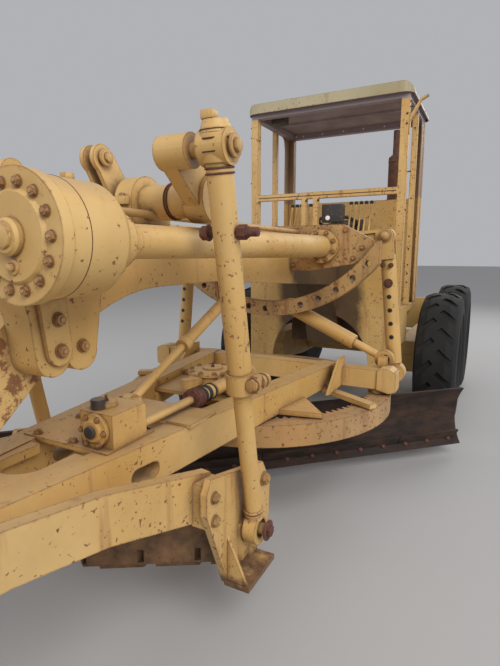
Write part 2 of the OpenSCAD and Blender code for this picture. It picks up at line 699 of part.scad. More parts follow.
// Blade lift
fork_t = 25;
module lift_arm(side) {
    hub_s = collar_s + saddle_t + gap;
    color(yellow)
    difference() {
        union() {
            along_x(hub_s, side * tube_y, tube_z, 210, lift_s + 60 - hub_s);
            translate([fx(lift_s + 33), 0, 0]) rotate([90, 0, 90]) linear_extrude(66)
                polygon([[side * tube_y, tube_z - 95], [side * arm_tip[0], arm_tip[1] - 52],
                         [side * arm_tip[0], arm_tip[1] + 52], [side * tube_y, tube_z + 95]]);
            along_x(lift_s - 33, side * arm_tip[0], arm_tip[1], 110, 66);
            along_x(lift_s - 66, side * arm_tip[0], arm_tip[1], 50, 132);
        }
        along_x(collar_s, side * tube_y, tube_z, 100 + 2 * fit, lift_s + 100 - collar_s);
        // the flanks between the flanges are hollowed
        for (s = [lift_s - 34, lift_s + 19])
            translate([fx(s + 15), 0, 0]) rotate([90, 0, 90]) linear_extrude(15)
                polygon([[side * (tube_y + 125), tube_z - 38], [side * (arm_tip[0] - 75), arm_tip[1] - 32],
                         [side * (arm_tip[0] - 75), arm_tip[1] + 24], [side * (tube_y + 125), tube_z + 72]]);
    }
}

module lift_link(side) {
    v = draw_tip - arm_tip;
    n = v / norm(v);
    top = arm_tip + n * 125;
    low = draw_tip - n * 70;
    color(yellow)
    difference() {
        union() {
            bar([fx(lift_s), side * top[0], top[1]], [fx(lift_s), side * low[0], low[1]], 104, 104);
            for (s = [lift_s - 63, lift_s + 38])
                translate([fx(s + fork_t), 0, 0]) rotate([90, 0, 90]) linear_extrude(fork_t)
                    polygon([for (c = [[0, -50], [0, 50], [160, 50], [160, -50]])
                        let (p = arm_tip + n * c[0]) [side * (p[0] + c[1] * n[1]), p[1] - c[1] * n[0]]]);
            for (s = [lift_s - 63, lift_s + 38]) along_x(s, side * arm_tip[0], arm_tip[1], 100, fork_t);
            along_x(lift_s - 42, side * draw_tip[0], draw_tip[1], draw_pin_d + 2 * open_play + 60, 84);
        }
        along_x(lift_s - 80, side * arm_tip[0], arm_tip[1], 50 + 2 * fit, 160);
        along_x(lift_s - 80, side * draw_tip[0], draw_tip[1], draw_pin_d + 2 * open_play, 160);
        for (k = [1:5]) let (p = arm_tip + n * (230 + k * 95))
            along_x(lift_s - 80, side * p[0], p[1], 30, 160);
    }
}

shift_dir = [0, shift_eye[0] - shift_lug[0], shift_eye[1] - shift_lug[1]];
shift_len = norm(shift_dir);
shift_rod_d = 56;
module shift_barrel() {
    a = [fx(shift_s), shift_lug[0], shift_lug[1]];
    u = shift_dir / shift_len;
    color(yellow)
    difference() {
        union() {
            bar(a + u * 30, a + u * 560, 106, 106);
            along_x(shift_s - 40, a[1], a[2], 120, 80);
        }
        along_x(shift_s - 50, a[1], a[2], 60 + 2 * fit, 100);
        bar(a + u * 150, a + u * 600, shift_rod_d + 2 * fit, shift_rod_d + 2 * fit);
    }
}

module shift_rod() {
    a = [fx(shift_s), shift_lug[0], shift_lug[1]];
    b = [fx(shift_s), shift_eye[0], shift_eye[1]];
    u = shift_dir / shift_len;
    color(yellow)
    difference() {
        union() {
            bar(a + u * 300, b - u * 50, shift_rod_d, shift_rod_d);
            along_x(shift_s - 31, b[1], b[2], shift_pin_d + 2 * open_play + 50, 62);
        }
        along_x(shift_s - 50, b[1], b[2], shift_pin_d + 2 * open_play, 100);
    }
}

// Scarifier
scar_pin_d = 60;
scar_block_s = 1750;                 // front edge of the block in the middle
scar_half = 600;                     // from there to the block's end
scar_sweep = 360;                    // how far the block's ends trail
scar_low = 350;
scar_block_h = 230;
scar_plate_y = 570;                  // end plates
scar_splay = 12.5;
shank_pitch = 215;
scar_eye_pin = 50;
module scarifier() {
    color(yellow)
    difference() {
        union() {
            for (side = [-1, 1]) {
                // hinge eye and arched plate leg
                along_y(scar_pivot[0], side > 0 ? 168 : -232, scar_pivot[1], 120, 64);
                splayed_profile(scar_pivot[0], side * 200, scar_splay,
                                [[-20, 795], [120, 782], [553, 808], [881, 772], [1370, 650], [1370, 862],
                                 [881, 964], [553, 992], [260, 965], [60, 900], [-20, 878]], 52);
                box(1880, side * 528, 665, 110, 72, 185);
                // swept block, its lower front edge drawn back
                // columns: height above the block's underside, how far its front is drawn back, thickness
                for (k = [[0, 60, 50], [50, 0, scar_block_h - 50]])
                    translate([0, 0, scar_low + k[0]]) linear_extrude(k[2])
                        polygon([[fx(scar_block_s + k[1]), 0],
                                 [fx(scar_block_s + k[1] + scar_sweep), side * scar_half],
                                 [fx(scar_block_s + scar_sweep + 150), side * scar_half],
                                 [fx(scar_block_s + 150), 0]]);
                // end plate, shelf and gusset
                side_profile([[1885, 885], [1852, 830], [1850, 740], [2005, scar_low + 5],
                              [2290, scar_low + 5], [2420, 450], [2430, 640], [2350, 770]],
                             side * scar_plate_y, 30);
                box(2000, side * (scar_plate_y + 60), scar_low - 6, 260, 120, 25);
                cross_profile([[side * (scar_plate_y + 5), scar_low],
                               [side * (scar_plate_y + 115), scar_low],
                               [side * (scar_plate_y + 5), 590]], 2004, 18);
                along_y(scar_eye[0], side > 0 ? scar_plate_y + 5 : -scar_y - 60, scar_eye[1], 84, 24);
                along_y(scar_eye[0], side > 0 ? scar_plate_y : -scar_y - 60, scar_eye[1], scar_eye_pin,
                        scar_y + 60 - scar_plate_y);
            }
        }
        for (side = [-1, 1])
            along_y(scar_pivot[0], side > 0 ? 160 : -240, scar_pivot[1], scar_pin_d + 2 * fit, 80);
        // shank pockets right through the block, open to its front
        for (k = [-2:2]) let (y = k * shank_pitch, s = scar_block_s + 75 + abs(y) * scar_sweep / scar_half) {
            box(s - 40, y, scar_low - 10, 80, 46, scar_block_h + 20);
            box(s - 130, y, scar_low + 60, 110, 24, 60);
        }
    }
}

module scarifier_bearings() {
    color(yellow)
    for (side = [-1, 1])
        difference() {
            union() {
                along_y(scar_shaft[0], side * 120 - 45, scar_shaft[1], 220, 90);
                box(scar_shaft[0] - 108, side * 120, beam_top, 216, 90, scar_shaft[1] - beam_top);
                box(scar_shaft[0] - 150, side * 120, beam_top, 300, 86, 26);
            }
            along_y(scar_shaft[0], side * 120 - 60, scar_shaft[1], 140 + 2 * fit, 120);
            box(scar_shaft[0] - 200, side * 120, beam_top - 60, 400, 100, 60);
        }
}

module scarifier_crank() {
    v = scar_hub - scar_shaft;
    n = v / norm(v);
    color(yellow) {
        along_y(scar_shaft[0], -480, scar_shaft[1], 140, 960);
        for (side = [-1, 1]) {
            along_y(scar_shaft[0], side > 0 ? 400 : -500, scar_shaft[1], 184, 100);
            side_profile([for (c = [[scar_shaft, -80], [scar_hub, -54], [scar_hub, 54], [scar_shaft, 80]])
                [c[0][0] - c[1] * n[1], c[0][1] + c[1] * n[0]]], side * 450, 64);
            along_y(scar_hub[0], side > 0 ? 410 : -540, scar_hub[1], 122, 130);
            along_y(scar_hub[0], side > 0 ? 530 : -scar_y - 66, scar_hub[1], 56, scar_y + 66 - 530);
        }
        // centre lever, forked
        for (y = [-28, 28]) {
            side_profile([[2150, 1990], [2010, 2175], [1930, 2190], [1910, 2130], [2010, 1960]], y, 20);
            along_y(1955, y - 10, 2145, 110, 20);
        }
        along_y(1955, -50, 2145, 44, 100);
    }
}

module scarifier_link(side) {
    v = scar_eye - scar_hub;
    n = v / norm(v);
    color(yellow)
    difference() {
        union() {
            // cap, tube, clamp and the thinner screw-adjusted tube below it
            // columns: from and to, along the link from the hub, and the two diameters
            for (k = [[-88, -58, 84, 110], [-70, 900, 96, 96], [830, 914, 120, 120],
                      [900, norm(v) - 50, 76, 76]])
                let (a = scar_hub + n * k[0], b = scar_hub + n * k[1])
                    bar([fx(a[0]), side * scar_y, a[1]], [fx(b[0]), side * scar_y, b[1]], k[2], k[3]);
            along_y(scar_hub[0], side * scar_y - 54, scar_hub[1], 124, 108);
            along_y(scar_eye[0], side * scar_y - 30, scar_eye[1], scar_eye_pin + 2 * open_play + 60, 60);
        }
        along_y(scar_hub[0], side * scar_y - 80, scar_hub[1], 56 + 2 * fit, 160);
        along_y(scar_eye[0], side * scar_y - 80, scar_eye[1], scar_eye_pin + 2 * open_play, 160);
    }
}

// Cab
rail_z = 2350;
cowl_z = 1940;
roof_h = 90;
roof_lip = 24;                       // how far the roof's rolled edge hangs past the frame
module cab_frame() {
    h = roof_z - roof_h + roof_lip - floor_z;
    color(yellow) {
        for (side = [-1, 1], k = [0, 1])
            box(cab_s + k * (cab_l - post), side * (cab_w - post) / 2, floor_z, post, post, h);
        for (side = [-1, 1]) {
            box(cab_s + 500, side * (cab_w - 50) / 2, floor_z, 50, 50, h);
            // corner gusset under the header, and a wide rear corner
            side_profile([[cab_s + post - 5, floor_z + h - 20], [cab_s + post - 5, floor_z + h - 150],
                          [cab_s + post + 45, floor_z + h - 72], [cab_s + post + 110, floor_z + h - 52]],
                         side * (cab_w - post) / 2, 12);
            side_profile([[cab_s + cab_l - 200, floor_z + h - 20], [cab_s + cab_l - 280, floor_z + h - 52],
                          [cab_s + cab_l - 215, floor_z + h - 90], [cab_s + cab_l - 190, floor_z + h - 190],
                          [cab_s + cab_l - 190, floor_z + 5], [cab_s + cab_l - post + 5, floor_z + 5],
                          [cab_s + cab_l - post + 5, floor_z + h - 20]],
                         side * (cab_w / 2 - 8), 8);
            box(cab_s, side * (cab_w - post) / 2, floor_z + h - 60, cab_l, post, 60);
        }
        for (s = [cab_s, cab_s + cab_l - post]) box(s, 0, floor_z + h - 60, post, cab_w, 60);
        box(cab_s, 0, rail_z - 60, 50, cab_w, 60);
        for (y = [-190, -70]) box(cab_s, y, cowl_z - 40, 45, 50, rail_z - cowl_z);
        box(cab_s, 0, cowl_z - 60, 50, cab_w, 60);
        // rear wall below the open window
        box(cab_s + cab_l - 40, 0, floor_z, 30, cab_w - 20, rail_z - floor_z);
        // bent mirror arm on the left front post
        arm_y = cab_w / 2;
        cross_profile([[arm_y - 10, roof_z - 420], [arm_y + 6, roof_z - 420], [arm_y + 10, roof_z - 320],
                       [arm_y + 92, roof_z - 160], [arm_y + 150, roof_z - 130], [arm_y + 148, roof_z - 116],
                       [arm_y + 82, roof_z - 148], [arm_y - 10, roof_z - 300]], cab_s + 5, 44);
    }
}

// Rounded rectangle from (0, 0) to (l, w): an outline with arcs of radius r at its four corners
function round_outline(l, w, r) =
    [for (c = [[l - r, w - r, 0], [r, w - r, 90], [r, r, 180], [l - r, r, 270]], k = [0:6])
        [c[0] + r * cos(c[2] + k * 15), c[1] + r * sin(c[2] + k * 15)]];

// The roof's outline drawn in by t on every side, h high
module roof_plan(t, h) {
    l = cab_l + 90 - 2 * t;
    w = cab_w + 70 - 2 * t;
    translate([fx(cab_s - 50 + t + l), -w / 2, roof_z - roof_h]) linear_extrude(h)
        polygon(round_outline(l, w, 100 - t));
}

module cab_roof() {
    w = cab_w + 70;
    h = 2 * roof_h + 20;
    color(yellow)
    difference() {
        intersection() {
            roof_plan(0, roof_h);
            // sides rounded over
            translate([fx(cab_s + cab_l + 100), -w / 2, roof_z - h]) rotate([90, 0, 90])
                linear_extrude(cab_l + 200) polygon(round_outline(w, h, roof_h));
        }
        translate([0, 0, -10]) roof_plan(sheet_t + 2, roof_lip + 10);
    }
}

module cab_floor() {
    color(yellow) {
        difference() {
            box(cab_s - 20, 0, floor_z - 60, cab_l + 40, cab_w, 60);
            box(cab_s - 30, 0, floor_z - 80, tail_s - cab_s + 30, beam_w, 100);
        }
        // front apron with an arched cut-out over the circle
        difference() {
            box(cab_s - 20, 0, 700, 20, cab_w, cowl_z - 60 - 700);
            along_x(cab_s - 40, 0, 700, 1000, 60);
            box(cab_s - 40, 0, 1000, 60, beam_w, 900);
        }
        for (side = [-1, 1]) box(cab_s, side * (cab_w / 2 - 10), 900, 480, 20, floor_z - 900 - 59);
        // posts that stand the floor on the rear frame
        for (side = [-1, 1]) box(cab_s + 300, side * 320, rail_top, 500, 60, floor_z - 60 - rail_top);
    }
}

module operator_seat() {
    color("#3a3a3a") {
        box(cab_s + 600, 0, floor_z, 280, 260, 400);
        box(cab_s + 520, 0, floor_z + 400, 400, 440, 110);
        box(cab_s + 830, 0, floor_z + 500, 90, 440, 420);
    }
}

column_lean = 14;
module steering_column() {
    color("#2b2b2b")
    translate([fx(tail_s + 100), 0, floor_z]) {
        cylinder(h = 26, d = 150);
        rotate([0, -column_lean, 0]) {
            translate([0, 0, 20]) cylinder(h = 850, d = 70);
            translate([0, 0, 870]) rotate_extrude($fn = 48) translate([200, 0]) circle(d = 34, $fn = 16);
            for (a = [0, 120, 240])
                rotate([0, 0, a]) translate([0, -12, 858]) cube([200, 24, 20]);
        }
    }
}

module lever_stand() {
    color(yellow)
    for (side = [-1, 1]) {
        box(cab_s + 60, side * 310, floor_z, 200, 260, 620);
        for (k = [0:4])
            bar([fx(cab_s + 120), side * (210 + 50 * k), floor_z + 600],
                [fx(cab_s + 260), side * (210 + 50 * k), floor_z + 1000], 18, 18);
    }
}

// Power unit
tank_s = cab_s + cab_l + 20;
tank_l = 300;
hood_s = tank_s + tank_l;
hood_top = 2300;
core_l = 190;
module fuel_tank() {
    color(yellow) box(tank_s, 0, rail_top, tank_l, 1100, 1150);
}

module engine() {
    length = tail_end - 60 - core_l - hood_s - 220;
    color("#4a4a44") box(hood_s + 100, 0, rail_top, length, 520, 640);
}

module radiator() {
    s0 = tail_end - 60 - core_l;
    low = rail_top + 90;
    color(yellow) {
        difference() {
            box(s0, 0, rail_top, core_l, 940, hood_top + 10 - rail_top);
            box(s0 + 110, 0, low, core_l, 780, hood_top - 90 - low);
        }
        // bars of the rear guard
        for (k = [-4:4]) box(s0 + 130, k * 84, low - 5, 26, 20, hood_top - 80 - low);
    }
}

hood_low = 1500;
louvres = 9;
module hood() {
    l = tail_end - 60 - core_l - hood_s;
    t = 10;
    color(yellow) difference() {
        box(hood_s, 0, hood_low, l, 900, hood_top - hood_low);
        box(hood_s + t, 0, hood_low - 10, l - 2 * t, 900 - 2 * t, hood_top - t - hood_low + 10);
        // louvres in both flanks
        for (k = [0:louvres - 1])
            box(hood_s + 260 + k * (l - 520) / (louvres - 1) - 14, 0, 1660, 28, 1000, 420);
    }
}

stack_s = hood_s + 460;
module exhaust() {
    color("#6b4a38") {
        translate([fx(stack_s), 330, hood_top]) rotate_extrude()
            polygon([[0, 0], [45, 0], [45, 60], [90, 90], [90, 640], [45, 680], [45, 960], [38, 960],
                     [38, 700], [0, 700]]);
    }
}

main_frame();
rear_frame();
rear_plate();
lift_saddle();
lift_housings();
torque_tubes();
front_axle();
knuckle(1);  // left_knuckle
knuckle(-1);  // right_knuckle
tie_rod();
front_wheel_tyre(1);  // front_left_tyre
front_wheel_rim(1);  // front_left_rim
front_wheel_tyre(-1);  // front_right_tyre
front_wheel_rim(-1);  // front_right_rim
rear_wheel_tyre(1, 0);  // rear_left_front_tyre
rear_wheel_rim(1, 0);  // rear_left_front_rim
rear_wheel_tyre(1, 1);  // rear_left_back_tyre
rear_wheel_rim(1, 1);  // rear_left_back_rim
rear_wheel_tyre(-1, 0);  // rear_right_front_tyre
rear_wheel_rim(-1, 0);  // rear_right_front_rim
rear_wheel_tyre(-1, 1);  // rear_right_back_tyre
rear_wheel_rim(-1, 1);  // rear_right_back_rim
tandem_cases();
rear_axle();
drawbar();
circle_gearcase();
circle_pinion();
drive_tube();
drive_shaft();
blade_circle();
blade();
lift_arm(1);  // left_lift_arm
lift_arm(-1);  // right_lift_arm
lift_link(1);  // left_lift_link
lift_link(-1);  // right_lift_link
shift_barrel();
shift_rod();
scarifier();
scarifier_bearings();
scarifier_crank();
scarifier_link(1);  // left_scarifier_link
scarifier_link(-1);  // right_scarifier_link
cab_frame();
cab_roof();
cab_floor();
operator_seat();
steering_column();
lever_stand();
engine();
hood();
radiator();
fuel_tank();
exhaust();
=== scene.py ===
import json
import math
import random

import bpy
from mathutils import Matrix, Vector


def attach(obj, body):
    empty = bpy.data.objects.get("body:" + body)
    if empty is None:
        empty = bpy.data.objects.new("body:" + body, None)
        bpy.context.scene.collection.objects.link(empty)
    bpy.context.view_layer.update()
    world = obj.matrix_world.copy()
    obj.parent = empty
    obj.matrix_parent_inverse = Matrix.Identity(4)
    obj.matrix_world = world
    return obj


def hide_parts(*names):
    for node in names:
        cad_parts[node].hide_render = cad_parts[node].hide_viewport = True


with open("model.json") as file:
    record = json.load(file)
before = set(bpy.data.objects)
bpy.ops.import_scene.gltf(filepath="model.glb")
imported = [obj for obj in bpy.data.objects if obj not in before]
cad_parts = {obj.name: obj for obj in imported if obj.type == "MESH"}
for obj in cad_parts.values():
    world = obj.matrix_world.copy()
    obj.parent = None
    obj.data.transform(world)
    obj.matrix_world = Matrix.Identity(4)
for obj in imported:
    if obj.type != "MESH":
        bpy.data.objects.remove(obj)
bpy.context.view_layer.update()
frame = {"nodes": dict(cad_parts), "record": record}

nodes = frame["nodes"]
chance = random.Random(14)


# Shader maths
def feed(tree, entry, value):
    """Joins a node's input to a Socket, or sets it to a plain value."""
    if isinstance(value, Socket):
        tree.links.new(value.link, entry)
    else:
        entry.default_value = value


class Socket:
    """A node's output that can be reckoned with, as in 1 - mask * 0.5."""

    def __init__(self, tree, link):
        self.tree, self.link = tree, link

    def _maths(self, operation, a, b):
        node = self.tree.nodes.new("ShaderNodeMath")
        node.operation = operation
        feed(self.tree, node.inputs[0], a)
        feed(self.tree, node.inputs[1], b)
        return Socket(self.tree, node.outputs[0])

    def __add__(self, other):
        return self._maths("ADD", self, other)

    def __radd__(self, other):
        return self._maths("ADD", other, self)

    def __sub__(self, other):
        return self._maths("SUBTRACT", self, other)

    def __rsub__(self, other):
        return self._maths("SUBTRACT", other, self)

    def __mul__(self, other):
        return self._maths("MULTIPLY", self, other)

    def __rmul__(self, other):
        return self._maths("MULTIPLY", other, self)

    def __truediv__(self, other):
        return self._maths("DIVIDE", self, other)

    def above(self, other):
        return self._maths("GREATER_THAN", self, other)

    def below(self, other):
        return self._maths("LESS_THAN", self, other)

    def most(self, other):
        return self._maths("MAXIMUM", self, other)


# A Mix node has entries for numbers, vectors and colours: these are the two colours' and their result's
MIX_A, MIX_B, MIXED = 6, 7, 2


class Finish:
    """A material being mixed: node() adds any node, and the helpers name what a paint shop would."""

    def __init__(self, name):
        self.material = bpy.data.materials.new(name)
        self.material.use_nodes = True
        self.tree = self.material.node_tree
        self.shader = self.tree.nodes["Principled BSDF"]
        self.place = self.node("ShaderNodeTexCoord", {}, {}, "Object")

    def node(self, kind, settings, values, output=0):
        made = self.tree.nodes.new(kind)
        for key, value in settings.items():
            setattr(made, key, value)
        for key, value in values.items():
            feed(self.tree, made.inputs[key], value)
        return Socket(self.tree, made.outputs[output])

    def along(self, axis, vector=None):
        """One part of a vector: of the place on the piece, unless another is given."""
        return self.node("ShaderNodeSeparateXYZ", {}, {"Vector": vector or self.place}, axis)

    def facing(self):
        """The way the surface looks, in the world."""
        return self.node("ShaderNodeNewGeometry", {}, {}, "Normal")

    def noise(self, scale, detail=4.0, roughness=0.55, stretch=(1, 1, 1), shift=(0, 0, 0)):
        spot = self.node("ShaderNodeMapping", {},
                         {"Vector": self.place, "Scale": stretch, "Location": shift})
        return self.node("ShaderNodeTexNoise", {}, {"Vector": spot, "Scale": scale, "Detail": detail,
                                                   "Roughness": roughness})

    def ramp(self, value, start, end):
        """0 at start and 1 at end, and no less or more beyond them."""
        return self.node("ShaderNodeMapRange", {"clamp": True},
                         {"Value": value, "From Min": start, "From Max": end})

    def mix(self, mask, a, b):
        """Colour a where the mask is 0, and b where it is 1."""
        made = self.tree.nodes.new("ShaderNodeMix")
        made.data_type = "RGBA"
        feed(self.tree, made.inputs[0], mask)
        for entry, colour in ((MIX_A, a), (MIX_B, b)):
            feed(self.tree, made.inputs[entry], colour if isinstance(colour, Socket) else (*colour, 1.0))
        return Socket(self.tree, made.outputs[MIXED])

    def bump(self, height, strength, distance):
        return self.node("ShaderNodeBump", {},
                         {"Height": height, "Strength": strength, "Distance": distance})

    def set(self, **inputs):
        for name, value in inputs.items():
            feed(self.tree, self.shader.inputs[name.replace("_", " ")], value)
        return self.material


# Colours: rust, painted shadow, dirt with painted shade, dust and soot, the yellow enamel, and the painted
# shade under the roof
RUST, PALE_RUST = (0.150, 0.055, 0.022), (0.330, 0.130, 0.050)
# Painted shadow, black and brown, for the hidden zone behind the saddle
SHADOW_BLACK, SHADOW_BROWN = (0.022, 0.013, 0.009), (0.100, 0.055, 0.030)
# Dirt and painted shade, for the corners
DIRT_AND_SHADE, PALE_DIRT_AND_SHADE = (0.085, 0.042, 0.022), (0.230, 0.115, 0.055)
DUST, SOOT = (0.400, 0.290, 0.185), (0.050, 0.040, 0.030)
YELLOW, BLEACHED = (0.640, 0.375, 0.110), (0.770, 0.510, 0.200)
# Painted shade under the roof: a mauve brown for its underside, header and the sheet beneath it
UNDER_ROOF_SHADE, DEEP_UNDER_ROOF_SHADE = (0.400, 0.330, 0.350), (0.270, 0.210, 0.215)


# Finishes
def weathered_paint(name, paint, faded, chips, streaks, soot=0.0, cover=None):
    """Old enamel: chips, streaks and soot say how much of each it has, and cover(f, colour) goes over it."""
    f = Finish(name)
    # Bleached by the sun in broad patches, and mottled
    broad = f.ramp(f.noise(1.3, 3), 0.35, 0.68)
    colour = f.mix(broad, paint, faded)
    mottle = f.ramp(f.noise(9.0, 5, 0.6), 0.42, 0.70)
    colour = f.mix(mottle * 0.22, colour, tuple(c * 0.80 for c in paint))
    # Rust that has run down: a noise drawn out along z
    run = f.noise(5.0, 4, 0.6, (2.6, 2.6, 0.22), (3.1, 0.4, 0.0))
    run = f.ramp(run, 0.66 - 0.10 * streaks, 0.80 - 0.06 * streaks)
    colour = f.mix(run * (0.45 + 0.35 * streaks), colour, PALE_RUST)
    # Chipped in spots, more in some regions, each chip with a paler rim
    spots = f.noise(46.0, 6, 0.62, shift=(7.0, 1.0, 2.0))
    region = f.ramp(f.noise(2.2, 3, 0.5, shift=(1.0, 5.0, 9.0)), 0.30, 0.75)
    depth = spots + region * 0.10
    bare = f.ramp(depth, 0.735 - 0.08 * chips, 0.760 - 0.08 * chips)
    rim = f.ramp(depth, 0.705 - 0.08 * chips, 0.745 - 0.08 * chips)
    rusty = f.mix(f.noise(60.0, 3), RUST, PALE_RUST)
    colour = f.mix(rim * 0.45, colour, PALE_RUST)
    colour = f.mix(bare, colour, rusty)
    # Dusty on top
    upward = f.ramp(f.along("Z", f.facing()), 0.60, 0.95)
    dusty = upward * f.ramp(f.noise(3.0, 5, 0.6, shift=(6, 2, 8)), 0.25, 0.60)
    colour = f.mix(dusty * 0.50, colour, DUST)
    # Rubbed to rust along the edges, where a rounded normal turns away from the true one
    rounded = f.node("ShaderNodeBevel", {"samples": 6}, {"Radius": 0.015})
    turned = f.node("ShaderNodeVectorMath", {"operation": "DOT_PRODUCT"},
                    {0: rounded, 1: f.facing()}, "Value")
    sharp = (1.0 - turned) * 2.2 + (spots - 0.5) * 1.6
    rubbed = f.ramp(sharp, 0.42 - 0.12 * chips, 0.56 - 0.12 * chips) * f.ramp(turned, 0.995, 0.960)
    colour = f.mix(rubbed * 0.85, colour, rusty)
    # Dirt and painted shade in the corners, darker where ambient occlusion finds the surface hemmed in
    crevice = f.node("ShaderNodeAmbientOcclusion", {"samples": 12}, {"Distance": 0.09}, "AO")
    grime_and_shade = f.ramp(crevice + (spots - 0.5) * 0.5, 0.80, 0.34)
    colour = f.mix(grime_and_shade * 0.80, colour, f.mix(f.noise(40.0, 3), DIRT_AND_SHADE, PALE_DIRT_AND_SHADE))
    if soot:
        sooty = f.ramp(f.noise(3.4, 4, shift=(4, 4, 1)), 0.30, 0.70)
        colour = f.mix(sooty * soot, colour, SOOT)
    if cover:
        colour = cover(f, colour)
    rough = 0.50 + 0.12 * mottle + 0.32 * bare
    height = f.noise(140.0, 2) * 0.25 - bare * 0.8 + f.noise(9.0, 2) * 0.6
    return f.set(Base_Color=colour, Roughness=rough, Normal=f.bump(height, 0.35, 0.003))


def patchy(name, under, over, grain, limits, roughness, bumps, share=1.0, metallic=0.0):
    """One colour under another that lies in patches. grain is the patches' noise, limits where the upper
    colour starts and is full, and share how much of it shows. roughness is the lower one's, and what the
    upper one adds. bumps is a noise's scale and detail, and the bumps' strength and distance."""
    f = Finish(name)
    patch = f.ramp(f.noise(*grain), *limits)
    scale, detail, strength, distance = bumps
    return f.set(Base_Color=f.mix(patch * share, under, over), Roughness=roughness[0] + roughness[1] * patch,
                 Metallic=metallic, Normal=f.bump(f.noise(scale, detail), strength, distance))


def plain(name, colour, roughness):
    """One even colour."""
    return Finish(name).set(Base_Color=(*colour, 1.0), Roughness=roughness)


def shaded_below(f, colour):
    """The roof's underside: painted shade, a mauve brown where the surface looks down."""
    down = f.along("Z", f.facing()).below(-0.5)
    return f.mix(down, colour, f.mix(f.noise(4.0, 5), UNDER_ROOF_SHADE, DEEP_UNDER_ROOF_SHADE))


def shaded_header_browned_rear(f, colour):
    """Cab frame: the header painted the mauve brown of the shade under the roof, and browned above the rail
    on what stands at the rear.
    """
    x, z = f.along("X"), f.along("Z")
    rear = f.ramp(x, -1.840, -1.850) * f.ramp(z, 2.340, 2.360)
    colour = f.mix(rear * 0.75, colour, (0.260, 0.165, 0.110))
    # The header above z = 3.078 gets the painted shade under the roof
    return f.mix(z.above(3.078), colour, f.mix(f.noise(4.0, 5), UNDER_ROOF_SHADE, DEEP_UNDER_ROOF_SHADE))


def rusty_below(f, colour):
    """The scarifier's block and end plates, scraped to dark rust towards the ground, the block higher up."""
    y, z = f.along("Y"), f.along("Z")
    within = f.ramp(y * y, 0.560 ** 2, 0.530 ** 2)
    ragged = (f.noise(9.0, 6, 0.65) - 0.5) * 0.35
    scraped = f.ramp(z + ragged, 0.44, 0.36).most(within * f.ramp(z + ragged * 0.5, 0.64, 0.56))
    patch = f.ramp(f.noise(14.0, 6, 0.65, shift=(2, 0, 5)), 0.36, 0.66)
    return f.mix(scraped * 0.90, colour, f.mix(patch, (0.050, 0.022, 0.013), (0.200, 0.094, 0.046)))


def shadowed(f, colour, where):
    """Painted shadow, black and brown, over part of a colour."""
    return f.mix(where * 0.90, colour, f.mix(f.noise(12.0, 5), SHADOW_BLACK, SHADOW_BROWN))


def rust_bloom_and_shadow(f, colour):
    """Main frame: a bloom of rust where the beam turns down to the axle, and painted shadow under the beam
    behind the saddle.
    """
    x, z = f.along("X"), f.along("Z")
    # How far from the bloom's middle, in its own widths and heights
    across, up = (x - 2.370) / 0.15, (z - 1.350) / 0.28
    ragged = (f.noise(16.0, 8, 0.72, shift=(3, 3, 3)) - 0.5) * 5.0
    bloom = f.ramp((across * across + up * up) * 0.6 + 0.55 - ragged, 0.60, 0.35)
    rust = f.mix(f.noise(30.0, 5), (0.135, 0.050, 0.022), (0.330, 0.130, 0.048))
    colour = f.mix(bloom * 0.92, colour, rust)
    # Painted shadow under the beam behind the saddle
    ragged = (f.noise(5.0, 6, 0.65, shift=(1, 8, 4)) - 0.5) * 0.30
    return shadowed(f, colour, f.ramp(x + ragged, 0.10, -0.02) * f.ramp(z + ragged, 1.80, 1.66))


def shadowed_middle(f, colour):
    """Cab apron and rear frame: painted shadow behind the saddle's arch, clean towards the sides."""
    y, z = f.along("Y"), f.along("Z")
    ragged = (f.noise(5.0, 6, 0.65, shift=(1, 8, 4)) - 0.5) * 0.30
    return shadowed(f, colour, f.ramp(y * y + ragged * 0.4, 0.21, 0.14) * f.ramp(z + ragged, 1.98, 1.84))


